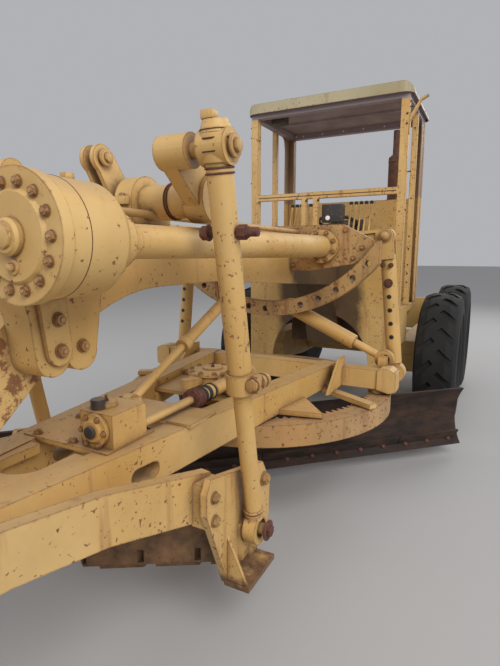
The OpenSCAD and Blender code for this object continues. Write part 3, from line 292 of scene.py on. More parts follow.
rubber = Finish("black_rubber")
rubber_colour = rubber.mix(rubber.noise(30.0, 4), (0.012, 0.012, 0.013), (0.045, 0.040, 0.036))
finish = {
    "paint": weathered_paint("faded_yellow_paint", YELLOW, BLEACHED, 0.50, 0.45, 0.12),
    # Yellow paint with painted shadow behind the saddle's arch
    "paint_shadowed_middle": weathered_paint("yellow_paint_shadowed_middle", YELLOW, BLEACHED, 0.60, 0.55, 0.15, shadowed_middle),
    "frame_paint": weathered_paint("main_frame_paint", YELLOW, BLEACHED, 0.55, 0.50, 0.12, rust_bloom_and_shadow),
    "scarifier_paint": weathered_paint("scarifier_paint", YELLOW, (0.760, 0.500, 0.200), 0.60, 0.7, 0.12,
                                       rusty_below),
    "cab_paint": weathered_paint("cab_frame_paint", (0.660, 0.390, 0.120), (0.760, 0.500, 0.200),
                                 0.9, 0.9, 0.10, shaded_header_browned_rear),
    "roof_paint": weathered_paint("roof_sheet_paint", (0.400, 0.335, 0.190), (0.500, 0.430, 0.270),
                                  0.5, 0.6, cover=shaded_below),
    "arc_paint": weathered_paint("stained_arc_paint", (0.540, 0.310, 0.105), (0.660, 0.420, 0.170),
                                 1.35, 1.5, 0.45),
    "worn_paint": weathered_paint("worn_rusty_paint", (0.520, 0.285, 0.100), (0.620, 0.390, 0.175),
                                  1.05, 1.1, 0.30),
    "worn_bolts": weathered_paint("rust_stained_bolts", (0.560, 0.320, 0.105), (0.660, 0.420, 0.165),
                                  1.0, 1.0, 0.30),
    "dark_paint": weathered_paint("dark_enamel", (0.030, 0.030, 0.032), (0.070, 0.066, 0.060), 0.5, 0.2),
    "tyre": patchy("worn_tyre_rubber", (0.008, 0.008, 0.008), (0.036, 0.031, 0.026),
                   (5.0, 5, 0.6), (0.42, 0.75), (0.78, 0.15), (90.0, 3, 0.3, 0.002), share=0.60),
    "rusted_steel": patchy("rusted_steel", (0.055, 0.026, 0.022), (0.190, 0.078, 0.036),
                           (11.0, 6, 0.65), (0.35, 0.70), (0.80, 0.1), (70.0, 5, 0.5, 0.003)),
    "rusty_bolt": patchy("brown_rusted_fastener", (0.075, 0.026, 0.022), (0.210, 0.085, 0.050),
                         (60.0, 5, 0.6), (0.35, 0.70), (0.70, 0.2), (160.0, 4, 0.5, 0.002), metallic=0.1),
    # The blade: dark rust, darkened further with painted shade
    "blade_rust_and_shade": patchy("rusty_blade_with_painted_shade", (0.020, 0.012, 0.009), (0.085, 0.042, 0.024),
                         (5.0, 6, 0.65, (1.0, 1.0, 2.5)), (0.40, 0.72), (0.75, 0.15), (40.0, 5, 0.5, 0.003)),
    "engine_iron": patchy("oily_engine_iron", (0.055, 0.050, 0.045), (0.190, 0.165, 0.125),
                          (6.0, 5), (0.40, 0.65), (0.45, 0.35), (30.0, 4, 0.4, 0.004), metallic=0.2),
    "seat_cover": patchy("cracked_seat_cover", (0.024, 0.022, 0.021), (0.105, 0.085, 0.062),
                         (14.0, 5, 0.65), (0.48, 0.72), (0.55, 0.3), (120.0, 3, 0.4, 0.002), share=0.8),
    # Painted shade under the roof, for the sheet beneath it
    "under_roof_shade": patchy("painted_under_roof_shade", DEEP_UNDER_ROOF_SHADE, UNDER_ROOF_SHADE,
                     (4.0, 5, 0.6), (0.35, 0.70), (0.85, 0.0), (60.0, 3, 0.3, 0.002)),
    "rubber": rubber.set(Base_Color=rubber_colour, Roughness=0.7),
    # White: the dials' faces, and painted light seen through the header's holes
    "pale": plain("white_dials_and_hole_light", (0.95, 0.95, 0.95), 0.9),
    # Near black: a dark face, and painted shade in holes and a slot
    "dial": plain("dark_face_and_hole_shade", (0.020, 0.022, 0.024), 0.35),
    "red_lens": plain("red_lens", (0.300, 0.012, 0.010), 0.25),
}
# Nodes whose finish isn't simply their slot's
OWN_FINISH = {"cab_frame": "cab_paint", "scarifier": "scarifier_paint", "blade": "blade_rust_and_shade",
              "lift_saddle": "arc_paint", "main_frame": "frame_paint", "shift_rod": "paint",
              "cab_floor": "paint_shadowed_middle", "rear_frame": "paint_shadowed_middle"}

for part in frame["record"]["subparts"]:
    shown = nodes[part["node"]]
    shown.data.materials.clear()
    shown.data.materials.append(finish[OWN_FINISH.get(part["node"], part["material_slot"])])


# The CAD's driving places, in metres. A name that ends in S is a station: so far behind the front axle
FRONT_AXLE_X, WHEELBASE, TANDEM_SPAN = 3.755, 6.430, 1.560
AXLE_Z, FRONT_Y, REAR_Y = 0.680, 1.010, 1.070
CIRCLE_S, CIRCLE_D = WHEELBASE - 2.930, 1.900
SADDLE_S, LIFT_S, CAB_S = CIRCLE_S + 0.150, CIRCLE_S + 0.330, WHEELBASE - 1.580
CIRCLE_TEETH, PINION_TEETH, TEETH_MODULE = 108, 20, CIRCLE_D / 127
PINION_S = CIRCLE_S - (CIRCLE_TEETH - PINION_TEETH) * TEETH_MODULE / 2

# Making pieces: each is built in place, joined, and rides on the body that carries it
FORWARD, REARWARD = Vector((1, 0, 0)), Vector((-1, 0, 0))
LEFT, RIGHT, UP = Vector((0, 1, 0)), Vector((0, -1, 0)), Vector((0, 0, 1))
SIDES = ((1, "left"), (-1, "right"))


def spot(s, y, z):
    """A point as the CAD gives it: behind the front axle, to the left and up."""
    return Vector((FRONT_AXLE_X - s, y, z))


def rod(a, b, radius, sides=16, end_radius=None):
    """A round bar from a to b, or a cone where the end's radius differs."""
    a, b = Vector(a), Vector(b)
    bpy.ops.object.select_all(action="DESELECT")
    bpy.ops.mesh.primitive_cone_add(
        vertices=sides, radius1=radius, radius2=radius if end_radius is None else end_radius,
        depth=(b - a).length, location=(a + b) / 2, rotation=(b - a).to_track_quat("Z", "Y").to_euler())
    return bpy.context.object


def block(centre, size, turn=(0, 0, 0)):
    """A box, turned by three angles."""
    bpy.ops.object.select_all(action="DESELECT")
    bpy.ops.mesh.primitive_cube_add(size=1, location=centre, scale=size, rotation=turn)
    return bpy.context.object


def ring(centre, axis, radius, thickness, segments=32):
    """A torus about an axis: thickness is its round section's radius."""
    bpy.ops.object.select_all(action="DESELECT")
    bpy.ops.mesh.primitive_torus_add(
        major_radius=radius, minor_radius=thickness, major_segments=segments, minor_segments=8,
        location=centre, rotation=Vector(axis).to_track_quat("Z", "Y").to_euler())
    return bpy.context.object


def ball(centre, radius, segments=20):
    bpy.ops.object.select_all(action="DESELECT")
    bpy.ops.mesh.primitive_uv_sphere_add(segments=segments, ring_count=segments // 2, radius=radius,
                                         location=centre)
    return bpy.context.object


def merged(name, parts):
    """The parts as one mesh whose origin is the frame's."""
    bpy.ops.object.select_all(action="DESELECT")
    for part in parts:
        part.select_set(True)
    bpy.context.view_layer.objects.active = parts[0]
    bpy.ops.object.join()
    bpy.ops.object.transform_apply(location=True, rotation=True, scale=True)
    piece = bpy.context.object
    piece.name = piece.data.name = name
    return piece


def dressed(piece, body, look):
    """The piece with its finish, riding on a body."""
    piece.data.materials.clear()
    piece.data.materials.append(finish[look])
    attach(piece, body)
    return piece


def fitted(name, body, look, parts, bevel=0.0):
    """A finished piece: merged, its edges eased, smoothed, finished and riding on body."""
    piece = merged(name, parts)
    if bevel:
        eased = piece.modifiers.new("eased_edges", "BEVEL")
        eased.width = bevel
        eased.segments = 2
        eased.limit_method = "ANGLE"
        eased.angle_limit = math.radians(40)
        bpy.ops.object.modifier_apply(modifier=eased.name)
    bpy.ops.object.shade_smooth_by_angle(angle=math.radians(35))
    return dressed(piece, body, look)


def model(name, parts):
    """A small part that is copied to many places and discarded in the end."""
    piece = merged(name, parts)
    bpy.ops.object.shade_smooth_by_angle(angle=math.radians(30))
    return piece


def copied(pattern, places):
    """Copies of a model that stands on z = 0, each with its own mesh: point, direction, scale."""
    twins = []
    for point, direction, scale in places:
        twin = pattern.copy()
        twin.data = pattern.data.copy()
        turned = Vector(direction).to_track_quat("Z", "Y").to_matrix().to_4x4()
        spin = Matrix.Rotation(chance.uniform(0, math.pi), 4, "Z")
        twin.data.transform(Matrix.Translation(Vector(point)) @ turned @ spin @ Matrix.Scale(scale, 4))
        bpy.context.scene.collection.objects.link(twin)
        twins.append(twin)
    return twins


def circle_of(centre, axis, radius, count, start=0.0):
    """Points evenly round a circle about an axis, the first at an angle in degrees."""
    turned = Vector(axis).to_track_quat("Z", "Y")
    angles = [math.radians(start + k * 360.0 / count) for k in range(count)]
    return [Vector(centre) + turned @ Vector((radius * math.cos(a), radius * math.sin(a), 0)) for a in angles]


# The models: a bolt 24 mm across the flats, a grease nipple and a plough bolt
hex_bolt = model("hex_bolt_model", [
    rod((0, 0, -0.002), (0, 0, 0.003), 0.0175, 20), rod((0, 0, 0.003), (0, 0, 0.0135), 0.0138, 6),
    rod((0, 0, 0.0133), (0, 0, 0.017), 0.0068, 12, 0.0056)])
grease_nipple = model("grease_nipple_model", [
    rod((0, 0, -0.001), (0, 0, 0.006), 0.0075, 6), rod((0, 0, 0.006), (0, 0, 0.013), 0.004, 10),
    ball((0, 0, 0.014), 0.0046, 10)])
plough_bolt = model("plough_bolt_model", [rod((0, 0, -0.002), (0, 0, 0.004), 0.019, 16, 0.012)])

# Frame: bolts of the lift housings, their brackets, the torque tubes' flanges and the saddle
HOUSING_S, HOUSING_Z, HOUSING_BOLT_R = 1.240, 1.795, 0.138
TUBE_Y, TUBE_Z, FLANGE_BOLT_R = 0.420, 1.810, 0.098
# s, y and z on a bracket, and y and z on the saddle's plate
BRACKET_BOLTS = ((1.450, 0.308, 1.552), (1.453, 0.308, 1.452), (1.556, 0.290, 1.450))
SADDLE_BOLTS = ((0.20, 1.925), (0.20, 1.68), (0.58, 1.92), (0.64, 1.73), (0.70, 1.80))
places = []
for side in (-1, 1):
    face = spot(HOUSING_S, side * TUBE_Y, HOUSING_Z)
    places += [(p, FORWARD, 0.9) for p in circle_of(face, FORWARD, HOUSING_BOLT_R, 14)]
    places += [(spot(s, side * y, z), LEFT * side, 1.35) for s, y, z in BRACKET_BOLTS]
    flange = spot(SADDLE_S - 0.045, side * TUBE_Y, TUBE_Z)
    places += [(p, FORWARD, 0.9) for p in circle_of(flange, FORWARD, FLANGE_BOLT_R, 8, 22.5)]
    places += [(spot(SADDLE_S, side * y, z), FORWARD, 1.0) for y, z in SADDLE_BOLTS]
fitted("housing_and_saddle_bolts", "frame", "worn_bolts", copied(hex_bolt, places))

# Housings: boss, plug and breather, and the seam behind the face
BREATHER_S, BREATHER_Z = HOUSING_S + 0.180, HOUSING_Z + 0.160
plugs, seams = [], []
for side in (-1, 1):
    y = side * TUBE_Y
    plugs.append(rod(spot(HOUSING_S + 0.030, y, HOUSING_Z), spot(HOUSING_S - 0.036, y, HOUSING_Z), 0.030, 8))
    plug = spot(HOUSING_S, y, HOUSING_Z - 0.075)
    plugs.append(rod(plug, plug + FORWARD * 0.012, 0.021, 20))
    plugs.append(block(plug + FORWARD * 0.018, (0.016, 0.016, 0.016)))
    plugs.append(rod(spot(BREATHER_S, y, BREATHER_Z), spot(BREATHER_S, y, BREATHER_Z + 0.022), 0.020, 6))
    seams.append(ring(spot(HOUSING_S + 0.100, y, HOUSING_Z), FORWARD, 0.1655, 0.0017, 72))
fitted("housing_plugs", "frame", "paint", plugs, 0.0012)
fitted("housing_seams", "frame", "rusted_steel", seams)

# Scarifier links: head, rings and slot at the top, the long bolt, the clamp's bolt and the lower rings.
# Each lies by its distance along the link from the hub
HUB, EYE, LINK_Y = Vector((1.870, 2.110)), Vector((2.160, 0.550)), 0.640
link_dir = (EYE - HUB).normalized()


def on_link(side, along, across=0.0, ahead=0.0):
    """A point by a scarifier link: along it from the hub, outwards from it, and ahead of it."""
    at = HUB + link_dir * along
    return spot(at.x - ahead, side * (LINK_Y + across), at.y)


for side, name in SIDES:
    body = name + "_scarifier_link"
    down = on_link(side, 1.0) - on_link(side, 0.0)
    out = LEFT * side
    head = [rod(on_link(side, 0.050), on_link(side, -0.046), 0.0585, 32),
            rod(on_link(side, -0.046), on_link(side, -0.074), 0.0560, 32, 0.0400),
            block(on_link(side, -0.098, -0.012, 0.012), (0.046, 0.046, 0.030))]
    fitted(name + "_link_head", body, "paint", head, 0.004)
    fitted(name + "_link_rings", body, "rusty_bolt",
           [ring(on_link(side, along), down, radius, 0.0035)
            for along, radius in ((-0.028, 0.0575), (0.066, 0.0495), (0.084, 0.0495))])
    # The slot: painted shade, a dark block
    fitted(name + "_link_slot", body, "dial",
           [block(on_link(side, 0.020, 0, 0.0565), (0.010, 0.050, 0.013))])
    crossed = on_link(side, 0.285)
    long_bolt = [rod(crossed - out * 0.100, crossed + out * 0.130, 0.0165, 16),
                 rod(crossed - out * 0.100, crossed - out * 0.076, 0.0270, 6),
                 rod(crossed - out * 0.076, crossed - out * 0.069, 0.0300, 20),
                 rod(crossed + out * 0.052, crossed + out * 0.086, 0.0275, 6),
                 rod(crossed + out * 0.086, crossed + out * 0.091, 0.0215, 20)]
    fitted(name + "_link_bolt", body, "rusty_bolt", long_bolt, 0.0015)
    ear = on_link(side, 0.872, 0.068)
    clamp = [block(ear, (0.046, 0.036, 0.070)), rod(ear + FORWARD * 0.046, ear + FORWARD * 0.023, 0.0270, 6),
             rod(ear + FORWARD * 0.029, ear + FORWARD * 0.022, 0.0310, 20)]
    clamp += [rod(ear + REARWARD * (0.022 + 0.017 * k), ear + REARWARD * (0.035 + 0.017 * k), r, 20)
              for k, r in enumerate((0.031, 0.026, 0.031, 0.026))]
    fitted(name + "_clamp_ear", body, "worn_bolts", clamp, 0.0015)
    fitted(name + "_link_foot_rings", body, "worn_bolts",
           [ring(on_link(side, along), down, 0.040, 0.006) for along in (1.488, 1.504)])
    pin = spot(EYE.x, side * 0.6995, EYE.y)
    fitted(name + "_link_pin_washers", "scarifier", "rusty_bolt",
           [rod(pin, pin + out * 0.0075, 0.045, 24),
            rod(pin + out * 0.0065, pin + out * 0.0225, 0.026, 6)], 0.0012)

# Scarifier: bolts on the end plates and nipples at the hinge
PLATE_Y = 0.585
# s, z and scale
PLATE_BOLTS = ((2.356, 0.681, 2.0), (1.905, 0.800, 1.5), (1.905, 0.700, 1.5), (2.300, 0.440, 1.3))
fitted("scarifier_plate_bolts", "scarifier", "worn_bolts",
       copied(hex_bolt, [(spot(s, side * PLATE_Y, z), LEFT * side, scale)
                         for side in (-1, 1) for s, z, scale in PLATE_BOLTS]))
fitted("scarifier_nipples", "scarifier", "rusty_bolt",
       copied(grease_nipple, [(spot(0.650, side * 0.200, 0.8895), UP, 1.2) for side in (-1, 1)]))

# Crank: washers and nuts on its pins, rings on its shaft and the head of the lever's pin
SHAFT_S, SHAFT_Z = 2.080, 1.970
crank = []
for side in (-1, 1):
    pin = spot(HUB.x, side * 0.705, HUB.y)
    out = LEFT * side
    crank.append(rod(pin, pin + out * 0.009, 0.040, 24))
    crank.append(rod(pin + out * 0.008, pin + out * 0.022, 0.024, 6))
fitted("crank_pin_nuts", "scarifier_crank", "worn_bolts", crank, 0.0012)
fitted("crank_rings", "scarifier_crank", "rusty_bolt",
       [ring(spot(SHAFT_S, side * y, SHAFT_Z), LEFT, 0.0725, 0.0035)
        for side in (-1, 1) for y in (0.300, 0.312)])
lever_pin = spot(1.955, 0.048, 2.145)
fitted("lever_pin_head", "scarifier_crank", "worn_bolts",
       [rod(lever_pin, lever_pin + LEFT * 0.014, 0.034, 24),
        rod(lever_pin + LEFT * 0.012, lever_pin + LEFT * 0.027, 0.020, 6)], 0.0015)

# Bearings of the scarifier's shaft: foot bolts, cap ears and their bolts
BEARING_Y, FOOT_TOP, EAR_TOP = 0.120, 1.9058, 1.9888
ears, places = [], []
for side in (-1, 1):
    y = side * BEARING_Y
    for s in (-0.128, 0.128):
        places += [(spot(SHAFT_S + s, y + d, FOOT_TOP), UP, 1.0) for d in (-0.024, 0.024)]
    ears += [block(spot(SHAFT_S + s, y, 1.972), (0.045, 0.070, 0.034)) for s in (-0.112, 0.112)]
    places += [(spot(SHAFT_S + s, y, EAR_TOP), UP, 0.9) for s in (-0.114, 0.114)]
fitted("bearing_ears", "frame", "paint", ears, 0.004)
fitted("bearing_bolts", "frame", "worn_bolts", copied(hex_bolt, places))

# Control shafts that run from the housings over the beam into the cab, with their joints and guides
CONTROL_Y, CONTROL_Z, CONTROL_ENDS = 0.225, 1.915, (1.540, 4.860)
shafts, joints = [], []
for side in (-1, 1):
    y, z = side * CONTROL_Y, CONTROL_Z
    shafts.append(rod(spot(CONTROL_ENDS[0], y, z), spot(CONTROL_ENDS[1], y, z), 0.016, 16))
    for s in (1.640, 4.700):
        joints.append(block(spot(s, y, z), (0.046, 0.046, 0.046), (math.radians(45), 0, 0)))
        joints.append(rod(spot(s - 0.050, y, z), spot(s + 0.050, y, z), 0.024, 16))
    for s in (2.700, 4.300):
        joints.append(block(spot(s, y - side * 0.030, z - 0.030), (0.036, 0.110, 0.020)))
        joints.append(rod(spot(s - 0.018, y, z), spot(s + 0.018, y, z), 0.030, 20))
fitted("control_shafts", "frame", "worn_bolts", shafts)
fitted("control_shaft_joints", "frame", "worn_bolts", joints, 0.002)

# Lift arms and links: ball-ended pins, nuts and the bolt left in the top hole. Tips are y and z
ARM_TIP, DRAW_TIP = Vector((0.825, 1.880)), Vector((0.925, 0.920))
HEAD_BOLTS_AT, HOLE_AT, HOLE_STEP = 0.200, 0.325, 0.095
lift_dir = (DRAW_TIP - ARM_TIP).normalized()
for side, name in SIDES:
    tip = spot(LIFT_S - 0.066, side * ARM_TIP.x, ARM_TIP.y)
    fitted(name + "_arm_pin_end", name + "_lift_arm", "worn_bolts",
           [rod(tip, tip + FORWARD * 0.012, 0.040, 24), ball(tip + FORWARD * 0.012, 0.031)], 0.001)
    holes = [ARM_TIP + lift_dir * (HOLE_AT + HOLE_STEP * k) for k in range(5)]
    head = ARM_TIP + lift_dir * HEAD_BOLTS_AT
    places = [(spot(LIFT_S - 0.0515, side * holes[0].x, holes[0].y), FORWARD, 1.8)]
    places += [(spot(LIFT_S - 0.063, side * (head.x + d), head.y), FORWARD, 1.0) for d in (-0.028, 0.028)]
    fitted(name + "_lift_link_bolts", name + "_lift_link", "rusty_bolt", copied(hex_bolt, places))
    # The empty holes: painted shade, dark discs
    fitted(name + "_lift_link_holes", name + "_lift_link", "dial",
           [rod(spot(LIFT_S - 0.0505, side * p.x, p.y), spot(LIFT_S - 0.030, side * p.x, p.y), 0.0155, 16)
            for p in holes[1:]])
    foot = spot(LIFT_S + 0.060, side * DRAW_TIP.x, DRAW_TIP.y)
    fitted(name + "_draw_pin_nut", "drawbar", "rusty_bolt",
           [rod(foot, foot + REARWARD * 0.009, 0.024, 20),
            rod(foot + REARWARD * 0.008, foot + REARWARD * 0.014, 0.032, 24),
            rod(foot + REARWARD * 0.013, foot + REARWARD * 0.032, 0.026, 6)], 0.0015)

# The nut of the side shift's lug, which sits on a hole of the saddle's arc
ARC_R, ARC_Z, LUG_ANGLE = 1.020, 2.377, math.radians(8)
lug = spot(3.630, ARC_R * math.sin(LUG_ANGLE), ARC_Z - ARC_R * math.cos(LUG_ANGLE))
fitted("shift_lug_nut", "frame", "worn_bolts",
       [rod(lug, lug + FORWARD * 0.008, 0.058, 24),
        rod(lug + FORWARD * 0.007, lug + FORWARD * 0.038, 0.040, 6)], 0.002)

# Drawbar: bolts of the worm gear case, the bevel box and their plates, nipples, caps, boot and guard
CASE_BASE, BEVEL_S, WORM_Y, WORM_Z = 0.945, 1.730, 0.200, 1.030
case = spot(PINION_S, 0, CASE_BASE)
bevel_face = spot(BEVEL_S - 0.021, 0.150, 1.066)
worm_face = spot(PINION_S - 0.176, WORM_Y, WORM_Z)
places = [(p, UP, 1.0) for p in circle_of(case + UP * 0.1045, UP, 0.135, 10)]
places += [(p, UP, 1.1) for p in circle_of(case + UP * 0.0185, UP, 0.158, 8, 22.5)]
places += [(p, FORWARD, 0.75) for p in circle_of(bevel_face, FORWARD, 0.060, 6)]
places += [(p, FORWARD, 0.7) for p in circle_of(worm_face, FORWARD, 0.057, 6)]
places += [(spot(s, y, 0.996), UP, 1.2) for s in (1.715, 1.945) for y in (-0.180, 0.030)]
places += [(spot(s, y, 0.9655), UP, 1.2) for s in (2.680, 3.000) for y in (-0.310, 0.310)]
fitted("drawbar_bolts", "drawbar", "worn_bolts", copied(hex_bolt, places))
fitted("drawbar_nipples", "drawbar", "rusty_bolt",
       copied(grease_nipple, [(case + UP * 0.1215, UP, 1.6),
                              (spot(BEVEL_S + 0.09, 0.120, 1.156), UP, 1.4),
                              (spot(PINION_S - 0.060, WORM_Y, WORM_Z + 0.0555), UP, 1.2)]))
top_cap, front_cap = spot(BEVEL_S + 0.045, 0.120, 1.135), spot(BEVEL_S - 0.020, 0.150, 1.066)
fitted("bevel_box_caps", "drawbar", "dark_paint",
       [rod(top_cap, top_cap + UP * 0.043, 0.030, 24),
        rod(front_cap, front_cap + FORWARD * 0.024, 0.026, 24)], 0.004)
BOOT_S, FOLD, GUARD_R = 2.386, 0.022, 0.0515
folds = []
for k in range(6):
    start = spot(BOOT_S + FOLD * k, WORM_Y, WORM_Z)
    near, far = (0.032, 0.046) if k % 2 == 0 else (0.046, 0.034)
    folds.append(rod(start, start + REARWARD * FOLD, near, 28, far))
fitted("drive_boot", "drawbar", "rubber", folds)
fitted("drive_guard", "drawbar", "rusty_bolt",
       [rod(spot(2.309, WORM_Y, WORM_Z), spot(2.379, WORM_Y, WORM_Z), GUARD_R, 32)]
       + [ring(spot(s, WORM_Y, WORM_Z), FORWARD, GUARD_R, 0.004) for s in (2.330, 2.360)])

# Blade: bolted cutting edge and end bits, set along the moldboard's lower front edge
BLADE_TURN, BLADE_LOW = math.radians(44), 0.120
BLADE_BACK, BLADE_THICK, BLADE_BOW, BLADE_H, EDGE_H = 0.040, 0.025, 0.090, 0.500, 0.150
bow_radius = (BLADE_H ** 2 / 4 + BLADE_BOW ** 2) / (2 * BLADE_BOW)
bow_half = math.asin(BLADE_H / 2 / bow_radius)
blade_shift = (BLADE_BACK + BLADE_THICK / 2 - BLADE_BOW / 2) * math.tan(BLADE_TURN)


def on_blade(along, angle, ahead):
    """A point on the hollow face: along the blade, at an angle on its bow, and ahead of the face."""
    reach = bow_radius - ahead
    x = -BLADE_BACK + bow_radius - reach * math.cos(angle)
    z = BLADE_LOW + BLADE_H / 2 + reach * math.sin(angle)
    turned = Matrix.Rotation(BLADE_TURN, 4, "Z") @ Vector((x, along + blade_shift, z))
    return turned + spot(CIRCLE_S, 0, 0)


edge_angle = -bow_half + EDGE_H / 2 / bow_radius
edge_turn = (0, -edge_angle, BLADE_TURN)
# Middle and length of the two edges and the two end bits
EDGES = ((-0.610, 1.210), (0.610, 1.210), (-1.510, 0.590), (1.510, 0.590))
edge = [block(on_blade(y, edge_angle, 0.006), (0.016, length - 0.006, EDGE_H - 0.004), edge_turn)
        for y, length in EDGES]
# Rust darkened with painted shade, as on the blade
fitted("cutting_edge", "circle", "blade_rust_and_shade", edge, 0.003)
ahead_of_edge = (on_blade(0, edge_angle, 0.1) - on_blade(0, edge_angle, 0.0)).normalized()
places = [(on_blade(-1.72 + 0.215 * k, angle, 0.0135), ahead_of_edge, 1.0)
          for k in range(17) for angle in (edge_angle - 0.045, edge_angle + 0.045)]
fitted("cutting_edge_bolts", "circle", "rusty_bolt", copied(plough_bolt, places))

# Wheels: nuts, hub cap bolts, valve and the raised rings of the sidewalls
WHEELS = [("front_" + name, 0.0, side * FRONT_Y) for side, name in SIDES]
WHEELS += [("rear_" + name + end, WHEELBASE + share * TANDEM_SPAN, side * REAR_Y)
           for share, end in ((-0.5, "_front"), (0.5, "_back")) for side, name in SIDES]
for name, s, y in WHEELS:
    out = LEFT if y > 0 else RIGHT
    hub = spot(s, y, AXLE_Z)
    places = [(p, out, 1.5) for p in circle_of(hub + out * 0.0585, out, 0.170, 10)]
    places += [(p, out, 0.8) for p in circle_of(hub + out * 0.130, out, 0.072, 8)]
    fitted(name + "_wheel_nuts", name + "_wheel", "worn_bolts", copied(hex_bolt, places))
    valve = hub + UP * 0.272
    fitted(name + "_valve", name + "_wheel", "rubber",
           [rod(valve + out * 0.070, valve + out * 0.125, 0.008, 10)])
    fitted(name + "_sidewall_rings", name + "_wheel", "tyre",
           [ring(hub + out * reach, out, radius, 0.006, 72)
            for radius, reach in ((0.395, 0.166), (0.470, 0.188))])

# Rear axles and rear end: inspection covers of the tandem cases, lamps and filler caps
covers, places = [], []
for side in (-1, 1):
    out = LEFT * side
    middle = spot(WHEELBASE, side * 0.855, AXLE_Z)
    covers.append(rod(middle - out * 0.004, middle + out * 0.014, 0.120, 40))
    places += [(p, out, 0.9) for p in circle_of(middle + out * 0.014, out, 0.098, 8)]
fitted("tandem_covers", "frame", "paint", covers, 0.003)
fitted("tandem_cover_bolts", "frame", "worn_bolts", copied(hex_bolt, places))
lamps = [spot(7.995, side * 0.560, 1.030) for side in (-1, 1)]
fitted("tail_lamp_shells", "frame", "dark_paint",
       [rod(lamp, lamp + REARWARD * 0.021, 0.050, 28) for lamp in lamps], 0.003)
fitted("tail_lamp_lenses", "frame", "red_lens",
       [rod(lamp + REARWARD * 0.020, lamp + REARWARD * 0.031, 0.043, 28, 0.030) for lamp in lamps], 0.002)
water, fuel = spot(7.845, 0, 2.309), spot(6.040, 0.330, 2.259)
caps = [rod(water, water + UP * 0.027, 0.050, 24), block(water + UP * 0.032, (0.090, 0.018, 0.012)),
        rod(fuel, fuel + UP * 0.033, 0.055, 24), block(fuel + UP * 0.038, (0.018, 0.096, 0.012))]
fitted("filler_caps", "frame", "dark_paint", caps, 0.002)

# Power unit: the hood's hinge, latches and handrails, engine fittings and the exhaust's bands
HINGE_Z, HANDRAIL_Y, HANDRAIL_Z, HANDRAIL_ENDS = 2.301, 0.485, 2.215, (6.340, 7.600)
hood = [rod(spot(6.195, 0, HINGE_Z), spot(7.745, 0, HINGE_Z), 0.009, 12)]
for side in (-1, 1):
    y = side * HANDRAIL_Y
    for s in (6.300, 7.640):
        hood.append(block(spot(s, side * 0.4525, 1.560), (0.034, 0.014, 0.070)))
    for s in HANDRAIL_ENDS:
        hood.append(rod(spot(s, side * 0.449, HANDRAIL_Z), spot(s, y, HANDRAIL_Z), 0.008, 10))
    hood.append(rod(spot(HANDRAIL_ENDS[0], y, HANDRAIL_Z), spot(HANDRAIL_ENDS[1], y, HANDRAIL_Z), 0.010, 12))
fitted("hood_hinge_and_rails", "frame", "worn_bolts", hood, 0.0015)
CYLINDERS, FIRST_PORT_S, PORT_STEP = 6, 6.400, 0.180
fittings = []
for side in (-1, 1):
    for k in range(CYLINDERS):
        s = FIRST_PORT_S + PORT_STEP * k
        fittings.append(rod(spot(s, side * 0.258, 1.340), spot(s, side * 0.330, 1.400), 0.034, 16))
    fittings.append(rod(spot(6.360, side * 0.335, 1.405), spot(7.360, side * 0.335, 1.405), 0.045, 20))
    fittings.append(rod(spot(6.560, side * 0.320, 1.130), spot(6.560, side * 0.320, 1.300), 0.055, 24))
    fittings.append(rod(spot(6.900, side * 0.310, 1.190), spot(7.160, side * 0.310, 1.190), 0.052, 24))
fitted("engine_manifolds_and_filters", "frame", "engine_iron", fittings, 0.003)
stack = spot(6.650, 0.330, 0)
bands = [rod(stack + UP * z, stack + UP * (z + 0.022), 0.093, 40) for z in (2.430, 2.880)]
bands += [block(stack + UP * z + FORWARD * 0.098, (0.022, 0.040, 0.022)) for z in (2.441, 2.891)]
fitted("exhaust_bands", "frame", "rusted_steel", bands, 0.002)

# Cab: post bolts, hinge pins, holes, dark box, rail's rust line, a sheet of painted shade under the roof,
# lever knobs and boots, and dash
CAB_HALF = 0.760
places = [(spot(CAB_S, 0.744, z), FORWARD, 0.55) for z in (2.954, 2.872)]
places += [(spot(CAB_S + 0.035, side * CAB_HALF, z), LEFT * side, 0.55)
           for side in (-1, 1) for z in (3.060, 2.150)]
places += [(spot(CAB_S + 0.030, side * (CAB_HALF - 0.070), z), RIGHT * side, 0.55)
           for side in (-1, 1) for z in (2.885, 1.900)]
places += [(spot(CAB_S, y, z), FORWARD, 0.6) for y in (-0.165, -0.045) for z in (1.960, 2.270)]
fitted("post_bolts", "frame", "rusty_bolt", copied(hex_bolt, places))
pins = [(spot(CAB_S + 0.050, side * CAB_HALF, z), LEFT * side)
        for side in (-1, 1) for z in (3.020, 2.925, 2.480)]
fitted("hinge_pins", "frame", "dark_paint", [rod(at, at + out * 0.034, 0.006, 10) for at, out in pins])
post_holes = [spot(CAB_S + 0.4985, 0.735, z) for z in (2.950, 2.300, 1.935, 1.813, 1.655, 1.568, 1.481)]
# The post's holes: painted shade, dark discs
fitted("mid_post_holes", "frame", "dial", [rod(at, at + REARWARD * 0.0115, 0.008, 14) for at in post_holes])
header_holes = [spot(CAB_S + 0.9485, y, 3.112) for y in (-0.660, -0.575, -0.345, -0.101, 0.123, 0.349, 0.526)]
# The header's holes: painted light, white discs
fitted("header_holes", "frame", "pale", [rod(at, at + REARWARD * 0.0115, 0.008, 14) for at in header_holes])
fitted("roof_box", "frame", "dark_paint", [block(spot(5.050, -0.540, 3.100), (0.110, 0.150, 0.080))], 0.006)
fitted("rail_rust_strip", "frame", "rusted_steel",
       [block(spot(CAB_S + 0.0008, 0.0, 2.318), (0.003, 1.360, 0.008))])
